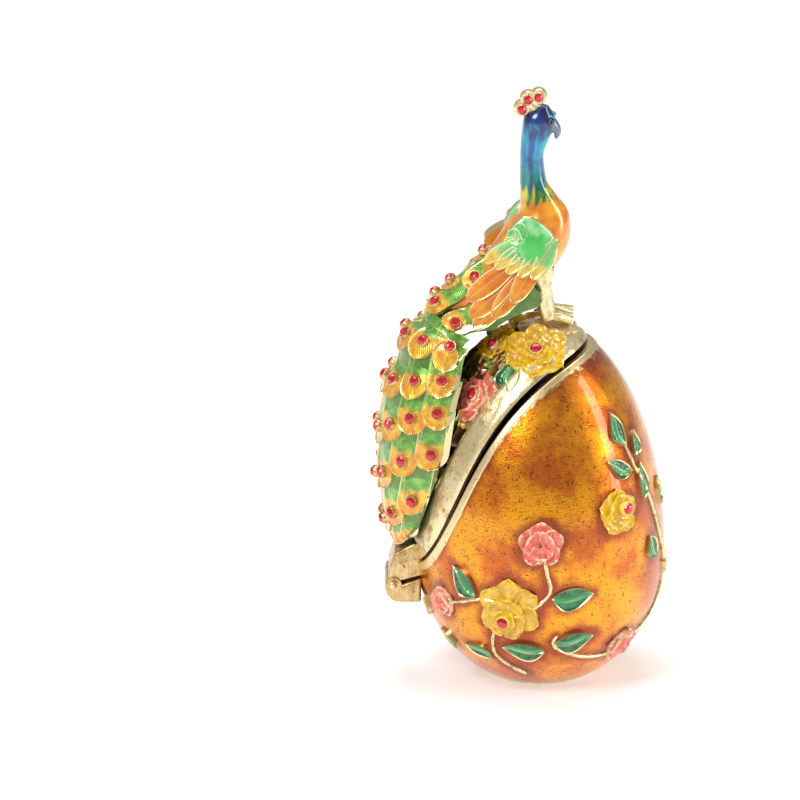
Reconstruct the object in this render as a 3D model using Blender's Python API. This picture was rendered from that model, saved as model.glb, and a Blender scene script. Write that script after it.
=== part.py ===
"""Enamelled metal egg box with a hinged openwork lid and a peacock standing on it."""

from math import acos, asin, atan2, cos, degrees, pi, radians, sin, sqrt

import bmesh
import bpy
from mathutils import Matrix, Vector

# All sizes are in millimetres. Each finished mesh is brought to metres once.
METRES = 0.001

# Points this close are one point after a join
SLIVER = 0.0001

# Cutting blocks reach this many egg radii or heights out
FAR = 3

# Egg body
EGG_RADIUS = 27.6
WIDEST_HEIGHT = 28.4
TOP_RISE = 52.5
FOOT_RADIUS = 11.0
WALL = 2.0
EGG_SIDES = 36
EGG_RINGS = 13
CAVITY_SIDES = 20
CAVITY_RINGS = 8

# Parting line between base and lid, seen from the front
SEAM_STEPS = 12
LID_AJAR = 1.05
TOUCH_GAP = 0.3
# Slope of the parting line's corner behind the hinge barrels
SEAM_CORNER_SLOPE = 0.4
RIM_BAND = 4.4
RIM_PROUD = 0.5

# Hinge on the left side, its axis running front to back
HINGE_STANDOFF = 5.0
HINGE_HEIGHT = 21.5
PIN_RADIUS = 0.8
PIN_GAP = 0.2
KNUCKLE_RADIUS = 1.9
LID_KNUCKLE_WIDTH = 5.0
EAR_WIDTH = 4.0
LID_BLOCK_RISE = 7.4
LID_BLOCK_WIDTH = 13.0
BASE_BLOCK_DROP = 4.0
BASE_BLOCK_STEP = 0.2
BLOCK_SPLIT_RISE = 2.4

# Applied leaves, flowers and vines
LEAF_RISE = 0.9
LEAF_SINK = 0.9
FLOWER_RISE = 1.5
FLOWER_SINK = 1.1
PETAL_WIDTH = 5.6
FEWEST_PETALS = 5
PETAL_DIP_SHARE = 0.84
PETAL_EDGE_SHARE = 0.97
PETAL_EDGE_RISE = 0.6
FLOWER_SEAT_SHARE = 0.42
FLOWER_SEAT_MARGIN = 0.3
VINE_RADIUS = 0.55
STEM_RADIUS = 1.15
PAD_RADIUS = 7.0
PAD_DEPTH = 2.6
PAD_MIDDLE = 1.6

# Crystals
CRYSTAL_RADIUS = 1.35
CRYSTAL_HEIGHT = 1.0
CRYSTAL_SIDES = 6
CRYSTAL_GAP = 0.25

# Peacock
BIRD_HEIGHT = 53.4
BODY_SIDES = 10
TRAIN_WALL = 2.2
TRAIN_SIDES = 9
FEATHER_LENGTH = 12.0
FEATHER_WIDTH = 6.6
FEATHER_THICKNESS = 1.1
FEATHER_SINK = 0.9
FEATHER_SEAT = 0.68
LEG_RADIUS = 2.0
LEG_SPREAD = 2.5
PRIMARY_QUILLS = 5
COVERT_QUILLS = 4
CREST_THICKNESS = 2.6
CREST_LOBE_RADIUS = 1.6
CREST_CRYSTAL_RADIUS = 1.1

# Share of the facets kept on each casting
BASE_FACET_SHARE = 0.55
LID_FACET_SHARE = 0.55
BIRD_FACET_SHARE = 0.58

EGG_HEIGHT = WIDEST_HEIGHT + TOP_RISE
BOTTOM_RISE = WIDEST_HEIGHT / sqrt(1 - (FOOT_RADIUS / EGG_RADIUS) ** 2)
HINGE = Vector((-EGG_RADIUS - HINGE_STANDOFF, 0, HINGE_HEIGHT))


def egg_radius(height):
    rise = TOP_RISE if height > WIDEST_HEIGHT else BOTTOM_RISE
    share = (height - WIDEST_HEIGHT) / rise
    return EGG_RADIUS * sqrt(max(0.0, 1 - share * share))


def egg_normal(azimuth, height):
    """Outward direction on the egg. Azimuth runs from the hinge side round the front."""
    rise = TOP_RISE if height > WIDEST_HEIGHT else BOTTOM_RISE
    out = egg_radius(height) / EGG_RADIUS ** 2
    up = (height - WIDEST_HEIGHT) / rise ** 2
    turn = radians(azimuth)
    return Vector((-cos(turn) * out, -sin(turn) * out, up)).normalized()


def egg_point(azimuth, height, lift=0.0):
    turn = radians(azimuth)
    radius = egg_radius(height)
    point = Vector((-cos(turn) * radius, -sin(turn) * radius, height))
    return point + egg_normal(azimuth, height) * lift


def frame_from(origin, normal, along):
    """Local axes with Z on the normal and X as near to along as it can be."""
    z_axis = normal.normalized()
    x_axis = (along - z_axis * along.dot(z_axis)).normalized()
    y_axis = z_axis.cross(x_axis)
    frame = Matrix((x_axis, y_axis, z_axis)).transposed().to_4x4()
    return Matrix.Translation(origin) @ frame


def egg_frame(azimuth, share, turn, lift=0.0):
    """Frame on the egg at a share of its height, X turned clockwise from straight up."""
    height = share * EGG_HEIGHT
    normal = egg_normal(azimuth, height)
    around = Vector((sin(radians(azimuth)), -cos(radians(azimuth)), 0))
    upward = around.cross(normal)
    if upward.z < 0:
        upward.negate()
    along = upward * cos(radians(turn)) + around * sin(radians(turn))
    return frame_from(egg_point(azimuth, height, lift), normal, along)


def smooth_between(rows, place):
    """Catmull-Rom value at a place counted in rows, for rows of equal length."""
    last = len(rows) - 1
    index = min(max(int(place), 0), last - 1)
    t = place - index
    before = rows[max(index - 1, 0)]
    start, end = rows[index], rows[index + 1]
    after = rows[min(index + 2, last)]
    result = []
    for a, b, c, d in zip(before, start, end, after):
        curve = (2 * a - 5 * b + 4 * c - d) * t * t + (3 * b - 3 * c + d - a) * t ** 3
        result.append(0.5 * (2 * b + (c - a) * t + curve))
    return result


def new_mesh_object(name, bm):
    bmesh.ops.remove_doubles(bm, verts=bm.verts, dist=SLIVER)
    bmesh.ops.recalc_face_normals(bm, faces=bm.faces)
    bmesh.ops.triangulate(bm, faces=bm.faces)
    mesh = bpy.data.meshes.new(name)
    bm.to_mesh(mesh)
    bm.free()
    made = bpy.data.objects.new(name, mesh)
    bpy.context.scene.collection.objects.link(made)
    return made


def combine(body, operation, tools):
    """Applies one exact Boolean with all the tool objects and removes them."""
    group = bpy.data.collections.new("tools")
    for tool in tools:
        group.objects.link(tool)
    step = body.modifiers.new("combine", "BOOLEAN")
    step.operation = operation
    step.operand_type = "COLLECTION"
    step.collection = group
    step.solver = "EXACT"
    step.use_self = operation == "UNION"
    depsgraph = bpy.context.evaluated_depsgraph_get()
    result = bpy.data.meshes.new_from_object(body.evaluated_get(depsgraph))
    bm = bmesh.new()
    bm.from_mesh(result)
    bmesh.ops.remove_doubles(bm, verts=bm.verts, dist=SLIVER)
    bmesh.ops.dissolve_degenerate(bm, edges=bm.edges, dist=SLIVER)
    bm.to_mesh(result)
    bm.free()
    body.modifiers.clear()
    body.data = result
    for tool in tools:
        bpy.data.objects.remove(tool)
    bpy.data.collections.remove(group)


def cast_solid(bm):
    """Keeps the outer skin, so that pockets shut in between joined forms are solid metal."""
    bm.verts.ensure_lookup_table()
    left = set(bm.verts)
    skins = []
    while left:
        start = left.pop()
        skin, edge = {start}, [start]
        while edge:
            for link in edge.pop().link_edges:
                for vert in link.verts:
                    if vert in left:
                        left.discard(vert)
                        skin.add(vert)
                        edge.append(vert)
        skins.append(skin)
    skins.sort(key=len)
    for skin in skins[:-1]:
        bmesh.ops.delete(bm, geom=list(skin), context="VERTS")


def tidy_facets(body, share):
    """Thins the facets left by the joins to a share of them."""
    bm = bmesh.new()
    bm.from_mesh(body.data)
    cast_solid(bm)
    bmesh.ops.triangulate(bm, faces=bm.faces)
    bm.to_mesh(body.data)
    bm.free()
    thin = body.modifiers.new("thin", "DECIMATE")
    thin.ratio = share
    depsgraph = bpy.context.evaluated_depsgraph_get()
    result = bpy.data.meshes.new_from_object(body.evaluated_get(depsgraph))
    body.modifiers.clear()
    body.data = result


def loft(name, rings):
    """Closed skin through rings of points, with a flat face at each end."""
    bm = bmesh.new()
    rows = [[bm.verts.new(point) for point in ring] for ring in rings]
    count = len(rows[0])
    for low, high in zip(rows, rows[1:]):
        for i in range(count):
            j = (i + 1) % count
            bm.faces.new((low[i], low[j], high[j], high[i]))
    bm.faces.new(rows[0])
    bm.faces.new(rows[-1])
    return new_mesh_object(name, bm)


def tube(name, points, radius, sides_level=1):
    curve = bpy.data.curves.new(name, "CURVE")
    curve.dimensions = "3D"
    curve.bevel_depth = radius
    curve.bevel_resolution = sides_level
    curve.use_fill_caps = True
    line = curve.splines.new("POLY")
    line.points.add(len(points) - 1)
    for place, point in zip(line.points, points):
        place.co = (*point, 1)
    holder = bpy.data.objects.new(name, curve)
    bpy.context.scene.collection.objects.link(holder)
    depsgraph = bpy.context.evaluated_depsgraph_get()
    bm = bmesh.new()
    bm.from_mesh(bpy.data.meshes.new_from_object(holder.evaluated_get(depsgraph)))
    bpy.data.objects.remove(holder)
    return new_mesh_object(name, bm)


def turned(name, profile, sides):
    """Solid of revolution about the upright axis through the egg."""
    bm = bmesh.new()
    line = [bm.verts.new((radius, 0, height)) for radius, height in profile]
    edges = [bm.edges.new(pair) for pair in zip(line, line[1:])]
    bmesh.ops.spin(bm, geom=line + edges, cent=(0, 0, 0), axis=(0, 0, 1), angle=2 * pi,
                   steps=sides, use_merge=True, use_duplicate=False)
    return new_mesh_object(name, bm)


def egg_solid(name, inset, sides, rings):
    """Egg shrunk inwards by the inset, with its flat foot."""
    radius = EGG_RADIUS - inset
    top = TOP_RISE - inset
    bottom = BOTTOM_RISE - inset
    foot = WIDEST_HEIGHT - inset
    start = asin(-foot / bottom)
    profile = [(0, inset)]
    for i in range(rings):
        angle = start + (pi / 2 - start) * i / rings
        rise = top if angle > 0 else bottom
        profile.append((radius * cos(angle), WIDEST_HEIGHT + rise * sin(angle)))
    profile.append((0, EGG_HEIGHT - inset))
    return turned(name, profile, sides)


def bezier(points, t):
    a, b, c, d = points
    u = 1 - t
    return a * u ** 3 + b * 3 * u * u * t + c * 3 * u * t * t + d * t ** 3


def seam_line():
    """Parting line in the plane of the hinge, from the hinge up to the right."""
    handles = [
        HINGE,
        Vector((-0.647 * EGG_RADIUS, 0, 0.358 * EGG_HEIGHT)),
        Vector((-0.685 * EGG_RADIUS, 0, 0.840 * EGG_HEIGHT)),
        Vector((0.449 * EGG_RADIUS, 0, 0.947 * EGG_HEIGHT)),
    ]
    return [bezier(handles, i / SEAM_STEPS) for i in range(SEAM_STEPS + 1)]


def shifted(line, distance):
    """The line moved sideways to its upper left side, less what a tight bend folds over."""
    moved = []
    for i, point in enumerate(line):
        ahead = line[min(i + 1, len(line) - 1)]
        behind = line[max(i - 1, 0)]
        run = (ahead - behind).normalized()
        spot = point + Vector((-run.z, 0, run.x)) * distance
        if min((spot - other).length for other in line) > 0.97 * abs(distance):
            moved.append(spot)
    return moved


def turned_about_hinge(line, angle):
    turn = Matrix.Rotation(-radians(angle), 3, "Y")
    return [HINGE + turn @ (point - HINGE) for point in line]


def seam_block(name, line, above):
    """Everything above or below a parting line, held back from the hinge barrels."""
    start = HINGE.x + KNUCKLE_RADIUS + TOUCH_GAP
    kept = [point for point in line if point.x > start]
    slope = (line[-1] - line[-2]).normalized()
    far_height = FAR * EGG_HEIGHT if above else -EGG_HEIGHT
    corner = kept[0] - Vector((kept[0].x - start, 0, (kept[0].x - start) * SEAM_CORNER_SLOPE))
    outline = [Vector((start, 0, far_height)), corner] + kept
    outline.append(line[-1] + slope * FAR * EGG_RADIUS)
    outline.append(Vector((outline[-1].x, 0, far_height)))
    reach = FAR * EGG_RADIUS
    front = [point + Vector((0, -reach, 0)) for point in outline]
    back = [point + Vector((0, reach, 0)) for point in outline]
    return loft(name, [front, back])


def side_block(name, line, above):
    """Everything above or below a line seen from the front, as one thick block."""
    reach = FAR * EGG_RADIUS
    outline = [line[0] + Vector((-reach, 0, 0))] + line
    slope = (line[-1] - line[-2]).normalized()
    outline.append(line[-1] + slope * reach)
    far_height = FAR * EGG_HEIGHT if above else -EGG_HEIGHT
    outline.append(Vector((outline[-1].x, 0, far_height)))
    outline.append(Vector((outline[0].x, 0, far_height)))
    front = [point + Vector((0, -reach, 0)) for point in outline]
    back = [point + Vector((0, reach, 0)) for point in outline]
    return loft(name, [front, back])


def leaf(name, frame, length, width, rise=LEAF_RISE):
    """Pointed leaf with its base at the frame's origin and a raised middle."""
    stops = (0.0, 0.22, 0.52, 0.8, 1.0)
    half = [width / 2 * sin(pi * t ** 0.8) for t in stops]
    near = [Vector((length * t, -h, 0)) for t, h in zip(stops, half)]
    far = [Vector((length * t, h, 0)) for t, h in zip(stops[-2:0:-1], half[-2:0:-1])]
    outline = near + far
    low = [frame @ (point - Vector((0, 0, LEAF_SINK))) for point in outline]
    edge = [frame @ (point + Vector((0, 0, rise * 0.55))) for point in outline]
    made = loft(name, [low, edge])
    bm = bmesh.new()
    bm.from_mesh(made.data)
    ridge = frame @ Vector((length * 0.45, 0, rise))
    top = [v for v in bm.verts if min((v.co - p).length for p in edge) < 0.01]
    flat = [f for f in bm.faces if all(v in top for v in f.verts)]
    region = bmesh.ops.dissolve_faces(bm, faces=flat)["region"]
    raised = bmesh.ops.poke(bm, faces=region)["verts"]
    raised[0].co = ridge
    bpy.data.objects.remove(made)
    return new_mesh_object(name, bm)


def flower(name, frame, radius, up=0.0, across=0.0):
    """Round flower with lobed petals and a flat seat, moved off the middle, for a crystal."""
    steps = 2 * max(FEWEST_PETALS, round(2 * pi * radius / PETAL_WIDTH))
    outline = []
    seat = Vector((up, across, FLOWER_RISE))
    for i in range(steps):
        angle = 2 * pi * i / steps
        reach = radius * (1.0 if i % 2 == 0 else PETAL_DIP_SHARE)
        outline.append(Vector((reach * cos(angle), reach * sin(angle), 0)))
    centre = min(radius * FLOWER_SEAT_SHARE, CRYSTAL_RADIUS + FLOWER_SEAT_MARGIN)
    low = [frame @ (p - Vector((0, 0, FLOWER_SINK))) for p in outline]
    edge = [frame @ (p * PETAL_EDGE_SHARE + Vector((0, 0, FLOWER_RISE * PETAL_EDGE_RISE))) for p in outline]
    inner = [frame @ (p.normalized() * centre + seat) for p in outline]
    return loft(name, [low, edge, inner])


def vine(name, places, lift=0.0, radius=VINE_RADIUS):
    """Stem lying on the egg through places given as azimuth and share of height."""
    points = [egg_point(azimuth, share * EGG_HEIGHT, lift) for azimuth, share in places]
    return tube(name, points, radius, 0)


# Flowers on the base: azimuth, share of the height, radius
BASE_FLOWERS = {
    "yellow_double_flower": (75, 0.278, 7.2),
    "yellow_side_flower": (130, 0.533, 5.1),
    "coral_rose": (90, 0.467, 5.0),
    "coral_bud": (37, 0.262, 3.6),
    "coral_low_flower": (141, 0.135, 4.4),
    "yellow_back_flower": (255, 0.34, 6.0),
    "coral_back_flower": (292, 0.52, 4.6),
    "coral_back_bud": (214, 0.30, 3.6),
}

# Crystals on the base's flowers: how far above and beside the flower's middle they sit
BASE_STONES = {
    "yellow_double_flower": (-2.6, 1.2),
    "yellow_side_flower": (0.7, -1.4),
    "yellow_back_flower": (0.0, 0.0),
}

# Leaves on the base: azimuth and share of the leaf's base, turn, length, width
BASE_LEAVES = [
    (142, 0.70, -12, 8.0, 4.2),
    (148, 0.665, 22, 5.8, 3.2),
    (142, 0.632, -62, 7.2, 4.0),
    (148, 0.545, 8, 8.4, 3.8),
    (156, 0.375, -28, 5.8, 4.6),
    (167, 0.50, 8, 6.4, 3.4),
    (170, 0.30, 30, 5.6, 3.4),
    (97, 0.178, 84, 9.0, 5.6),
    (92, 0.156, -92, 9.6, 5.4),
    (95, 0.316, 88, 9.6, 5.4),
    (59, 0.305, -46, 8.8, 4.8),
    (12, 0.19, 30, 5.4, 3.4),
    (36, 0.120, -50, 6.0, 3.6),
    (62, 0.115, -70, 7.4, 4.0),
    (262, 0.44, 25, 7.4, 4.0),
    (284, 0.42, -35, 7.0, 3.8),
    (238, 0.26, -80, 7.2, 3.8),
    (272, 0.20, 70, 7.4, 4.0),
    (226, 0.42, -20, 6.4, 3.4),
    (300, 0.63, 30, 6.0, 3.2),
]

BASE_VINES = {
    "right_vine": [(142, 0.71), (146, 0.64), (150, 0.60), (156, 0.52), (160, 0.45), (164, 0.40),
                   (170, 0.30), (164, 0.19), (142, 0.14)],
    "rose_stem": [(91, 0.44), (93, 0.38), (94, 0.33), (86, 0.28)],
    "low_vine": [(98, 0.20), (97, 0.165), (110, 0.125), (128, 0.11), (141, 0.13)],
    "left_stem": [(38, 0.26), (50, 0.28), (62, 0.30), (72, 0.29)],
    "foot_stem": [(70, 0.26), (64, 0.16), (66, 0.11), (80, 0.06)],
    "back_vine": [(214, 0.30), (236, 0.27), (255, 0.33), (272, 0.40), (290, 0.50), (300, 0.62)],
    "back_low_stem": [(255, 0.34), (264, 0.24), (272, 0.19), (276, 0.11)],
}

# Flowers and leaves of the lid, front side; the back repeats them turned about the bird
LID_FLOWERS = {
    "yellow_crown_flower": (84, 0.955, 6.4),
    "small_crown_flower": (24, 0.945, 4.4),
    "coral_lid_flower": (38, 0.832, 4.9),
}
LID_RELIEF_LIFT = -0.8
LID_LEAVES = [
    (66, 0.862, -8, 6.6, 4.4),
    (44, 0.895, -50, 5.0, 3.6),
    (30, 0.690, 6, 7.4, 3.8),
    (24, 0.560, -20, 6.0, 3.2),
]
LID_SPINE = [(0, 0.34), (0, 0.45), (0, 0.60), (0, 0.72), (0, 0.82), (0, 0.90), (0, 0.96)]
LID_RIB_SHARES = (0.43, 0.53, 0.63, 0.73, 0.82, 0.90)
# How far up a rib climbs from the spine to the rim, and the highest it may end
LID_RIB_CLIMB = 0.035
LID_RIB_TOP_SHARE = 0.945

# Train: ridge height and standoff from the egg, edge height and standoff, half width
TRAIN_STATIONS = [
    (1.222, 9.6, 1.100, 4.6, 7.4),
    (1.172, 14.4, 1.045, 9.0, 7.8),
    (1.095, 21.0, 1.000, 13.6, 8.6),
    (1.028, 25.8, 0.981, 13.6, 9.8),
    (0.972, 21.8, 0.956, 11.0, 11.5),
    (0.893, 16.5, 0.890, 7.2, 12.6),
    (0.826, 15.5, 0.824, 5.0, 13.5),
    (0.731, 12.9, 0.711, 2.6, 14.0),
    (0.601, 10.4, 0.612, 1.6, 14.0),
    (0.485, 7.7, 0.510, 1.5, 12.4),
    (0.407, 5.8, 0.440, 1.5, 9.4),
    (0.372, 4.2, 0.392, 1.6, 4.6),
]

# Feather rows: place along the train, angle of the last feather from the middle, angle
# between feathers, bend of the row
TRAIN_ROWS = [
    (0.60, 0, 60, 0.0),
    (1.20, 31, 62, 0.0),
    (1.75, 0, 60, 0.0),
    (2.40, 66, 44, 0.1),
    (4.00, 77.5, 31, 0.2),
    (5.75, 78, 26, 0.6),
    (7.20, 80.5, 23, 0.9),
    (8.25, 81, 27, 0.9),
    (9.45, 70, 28, 0.9),
]

# The rows next to the body have smaller feathers
UPPER_ROWS_END = 3
UPPER_LENGTH_SHARE = 0.72
UPPER_WIDTH_SHARE = 0.85

# A feather's outline from root to tip and back, as shares of its length and half width
FEATHER_OUTLINE = [(0, -0.6), (0.5, -1), (0.84, -0.72), (1, 0), (0.84, 0.72), (0.5, 1), (0, 0.6)]
FEATHER_ROOT_SHARE = 0.15

# Body sections in hundredths of the bird's height: x, height, half depth, half width
BODY_STATIONS = [
    (0.6, 92.8, 2.7, 2.7),
    (-0.2, 87.7, 6.6, 5.6),
    (-2.1, 80.8, 6.1, 5.6),
    (-3.7, 72.8, 5.0, 5.0),
    (-3.6, 65.2, 5.2, 5.2),
    (-2.9, 58.2, 6.0, 6.0),
    (-1.0, 51.4, 8.2, 7.6),
    (0.4, 44.6, 11.8, 10.4),
    (-1.8, 36.6, 13.6, 12.6),
    (-8.4, 27.0, 13.0, 12.2),
    (-17.6, 17.8, 11.4, 11.0),
    (-29.0, 10.4, 9.6, 9.6),
    (-38.0, 4.2, 6.4, 8.0),
]


def egg_cutter_set():
    seam = seam_line()
    lid_seam = turned_about_hinge(shifted(seam, TOUCH_GAP), LID_AJAR)
    return seam, lid_seam


def hinge_barrel(name, middle, width, radius):
    bm = bmesh.new()
    bmesh.ops.create_cone(bm, cap_ends=True, segments=16, radius1=radius, radius2=radius,
                          depth=width)
    place = Matrix.Translation(HINGE + Vector((0, middle, 0))) @ Matrix.Rotation(pi / 2, 4, "X")
    bmesh.ops.transform(bm, matrix=place, verts=bm.verts)
    return new_mesh_object(name, bm)


def prism(name, outline, width, middle=0.0):
    """Outline seen from the front, given a width along the hinge axis."""
    front = [p + Vector((0, middle - width / 2, 0)) for p in outline]
    back = [p + Vector((0, middle + width / 2, 0)) for p in outline]
    return loft(name, [front, back])


def hinge_width():
    return LID_KNUCKLE_WIDTH + 2 * TOUCH_GAP + 2 * EAR_WIDTH


def base_hinge_block(width):
    """Scroll-ended block that carries the two ears."""
    inside = -EGG_RADIUS + WALL * 0.6
    outline = [
        HINGE + Vector((-KNUCKLE_RADIUS * 0.9, 0, -BASE_BLOCK_STEP)),
        HINGE + Vector((-KNUCKLE_RADIUS * 0.4, 0, -BASE_BLOCK_DROP * 0.75)),
        HINGE + Vector((KNUCKLE_RADIUS, 0, -BASE_BLOCK_DROP)),
        Vector((inside, 0, HINGE_HEIGHT - BASE_BLOCK_DROP)),
        Vector((inside, 0, HINGE_HEIGHT + BLOCK_SPLIT_RISE - TOUCH_GAP)),
        HINGE + Vector((KNUCKLE_RADIUS, 0, 2 * BASE_BLOCK_STEP)),
        HINGE + Vector((0, 0, -BASE_BLOCK_STEP)),
    ]
    return prism("base_hinge_block", outline, width)


def lid_hinge_block(name, width, grow=0.0):
    """Block that widens the lid's frame out to the hinge."""
    inside = -EGG_RADIUS + WALL * 0.9
    outline = [
        HINGE + Vector((KNUCKLE_RADIUS * 0.7, 0, KNUCKLE_RADIUS * 0.47)),
        Vector((inside, 0, HINGE_HEIGHT + BLOCK_SPLIT_RISE)),
        Vector((inside, 0, HINGE_HEIGHT + LID_BLOCK_RISE * 1.35)),
        Vector((-EGG_RADIUS - RIM_PROUD, 0, HINGE_HEIGHT + LID_BLOCK_RISE * 1.3)),
        HINGE + Vector((KNUCKLE_RADIUS * 0.2, 0, LID_BLOCK_RISE)),
        HINGE + Vector((-KNUCKLE_RADIUS * 0.5, 0, LID_BLOCK_RISE * 0.5)),
        HINGE + Vector((-KNUCKLE_RADIUS * 0.6, 0, KNUCKLE_RADIUS * 0.37)),
    ]
    centre = sum(outline, Vector()) / len(outline)
    outline = [point + (point - centre).normalized() * grow for point in outline]
    return prism(name, outline, width + 2 * grow)


def relief(prefix, flowers, leaves, vines, stones, lift):
    """Flowers, leaves and vines laid on the egg, all sunk or lifted alike."""
    made = []
    for name, (azimuth, share, radius) in flowers.items():
        up, across = stones.get(name, (0.0, 0.0))
        frame = egg_frame(azimuth, share, 0, lift)
        made.append(flower(prefix + name, frame, radius, up, across))
    for i, (azimuth, share, turn, length, width) in enumerate(leaves):
        frame = egg_frame(azimuth, share, turn, lift)
        middle = frame @ Vector((length / 2, 0, 0))
        height = min(max(middle.z, 0.5), EGG_HEIGHT - 0.5)
        around = degrees(atan2(-middle.y, -middle.x))
        normal = egg_normal(around, height)
        settled = egg_point(around, height, lift)
        along = frame.to_3x3() @ Vector((1, 0, 0))
        seat = frame_from(settled, normal, along) @ Matrix.Translation((-length / 2, 0, 0))
        made.append(leaf(prefix + "leaf_%d" % i, seat, length, width))
    for name, places in vines.items():
        made.append(vine(prefix + name, places, lift))
    return made


def rim_band(name, line):
    """Raised band on the egg above the lid's parting line."""
    band = egg_solid(name, -RIM_PROUD, EGG_SIDES, EGG_RINGS)
    cuts = [side_block("under_band", line, False),
            side_block("over_band", shifted(line, RIM_BAND), True),
            egg_solid("band_core", WALL, CAVITY_SIDES, CAVITY_RINGS)]
    combine(band, "DIFFERENCE", cuts)
    return band


def make_base():
    seam, _ = egg_cutter_set()
    base = egg_solid("egg_base", 0, EGG_SIDES, EGG_RINGS)
    pieces = relief("base_", BASE_FLOWERS, BASE_LEAVES, BASE_VINES, BASE_STONES, 0)
    side = LID_KNUCKLE_WIDTH / 2 + TOUCH_GAP + EAR_WIDTH / 2
    for i, middle in enumerate((-side, side)):
        pieces.append(hinge_barrel("ear_%d" % i, middle, EAR_WIDTH, KNUCKLE_RADIUS))
    pieces.append(base_hinge_block(hinge_width() - 2 * BASE_BLOCK_STEP))
    combine(base, "UNION", pieces)
    cuts = [egg_solid("cavity", WALL, CAVITY_SIDES, CAVITY_RINGS),
            seam_block("above_seam", seam, True),
            hinge_barrel("knuckle_space", 0, LID_KNUCKLE_WIDTH + 2 * TOUCH_GAP,
                         KNUCKLE_RADIUS + TOUCH_GAP),
            hinge_barrel("pin_hole", 0, hinge_width() + 2, PIN_RADIUS + PIN_GAP)]
    combine(base, "DIFFERENCE", cuts)
    tidy_facets(base, BASE_FACET_SHARE)
    return base


def rim_azimuth(share, lid_seam):
    """Azimuth at which the lid's edge crosses a height."""
    height = share * EGG_HEIGHT
    line = shifted(lid_seam, RIM_BAND / 2)
    for low, high in zip(line, line[1:]):
        if low.z <= height <= high.z:
            part = (height - low.z) / (high.z - low.z)
            x = low.x + (high.x - low.x) * part
            return degrees(acos(max(-1, min(1, -x / egg_radius(height)))))
    return 90.0


def make_lid():
    _, lid_seam = egg_cutter_set()
    lid = rim_band("lid_frame", lid_seam)
    stem_lift = -STEM_RADIUS * 0.8
    pieces = [vine("lid_spine", LID_SPINE, stem_lift, STEM_RADIUS)]
    for k, share in enumerate(LID_RIB_SHARES):
        end_share = min(share + LID_RIB_CLIMB, LID_RIB_TOP_SHARE)
        end = rim_azimuth(end_share, lid_seam)
        for side in (1, -1):
            rib = [(side * end * t, share + (end_share - share) * t) for t in (0, 1 / 3, 2 / 3, 1)]
            pieces.append(vine("lid_rib_%d_%d" % (k, side), rib, stem_lift, STEM_RADIUS))
    for side in (1, -1):
        flowers = {n: (side * a, s, r) for n, (a, s, r) in LID_FLOWERS.items()}
        leaves = [(side * a, s, side * t, l, w) for a, s, t, l, w in LID_LEAVES]
        pieces += relief("lid_%d_" % side, flowers, leaves, {}, {}, LID_RELIEF_LIFT)
    pieces.append(perch_pad())
    pieces.append(hinge_barrel("lid_knuckle", 0, LID_KNUCKLE_WIDTH, KNUCKLE_RADIUS))
    pieces.append(lid_hinge_block("lid_hinge_block", LID_BLOCK_WIDTH))
    combine(lid, "UNION", pieces)
    side = LID_KNUCKLE_WIDTH / 2 + EAR_WIDTH
    cuts = [hinge_barrel("pin_hole", 0, LID_KNUCKLE_WIDTH + 2, PIN_RADIUS + PIN_GAP),
            hinge_barrel("front_ear_space", -side, 2 * EAR_WIDTH, KNUCKLE_RADIUS + TOUCH_GAP),
            hinge_barrel("back_ear_space", side, 2 * EAR_WIDTH, KNUCKLE_RADIUS + TOUCH_GAP),
            seam_block("below_seam", lid_seam, False),
            upright_disc("over_pad", 2 * EGG_RADIUS, EGG_HEIGHT, 2 * EGG_HEIGHT)]
    combine(lid, "DIFFERENCE", cuts)
    tidy_facets(lid, LID_FACET_SHARE)
    return lid


def upright_disc(name, radius, bottom, top, middle=0.0):
    bm = bmesh.new()
    bmesh.ops.create_cone(bm, cap_ends=True, segments=12, radius1=radius, radius2=radius,
                          depth=top - bottom)
    place = Matrix.Translation((middle, 0, (top + bottom) / 2))
    bmesh.ops.transform(bm, matrix=place, verts=bm.verts)
    return new_mesh_object(name, bm)


def perch_pad():
    """Small flat ground under the bird's feet, level with the egg's top."""
    return upright_disc("perch_pad", PAD_RADIUS, EGG_HEIGHT - PAD_DEPTH, EGG_HEIGHT, PAD_MIDDLE)


def make_pin():
    return hinge_barrel("hinge_pin", 0, hinge_width(), PIN_RADIUS)


def train_station(place):
    """Ridge point, edge centre and half width of the train at a place along it."""
    ridge_share, ridge_off, edge_share, edge_off, half = smooth_between(TRAIN_STATIONS, place)
    ridge_height = ridge_share * EGG_HEIGHT
    edge_height = edge_share * EGG_HEIGHT
    reach = egg_radius(edge_height) + edge_off
    inward = sqrt(max(reach * reach - half * half, 0.01))
    ridge = Vector((-egg_radius(ridge_height) - ridge_off, 0, ridge_height))
    return ridge, Vector((-inward, 0, edge_height)), half


def train_point(place, angle):
    ridge, centre, half = train_station(place)
    turn = radians(angle)
    return centre + (ridge - centre) * cos(turn) + Vector((0, -half * sin(turn), 0))


def train_frame(place, angle):
    """Frame on the train with Z outwards and X running down towards the tip."""
    last = len(TRAIN_STATIONS) - 1
    step = 0.05
    here = train_point(place, angle)
    down = train_point(min(place + step, last), angle) - train_point(place - step, angle)
    across = train_point(place, angle + 2) - train_point(place, angle - 2)
    normal = across.cross(down)
    if normal.x > 0:
        normal.negate()
    return frame_from(here, normal, down)


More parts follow.
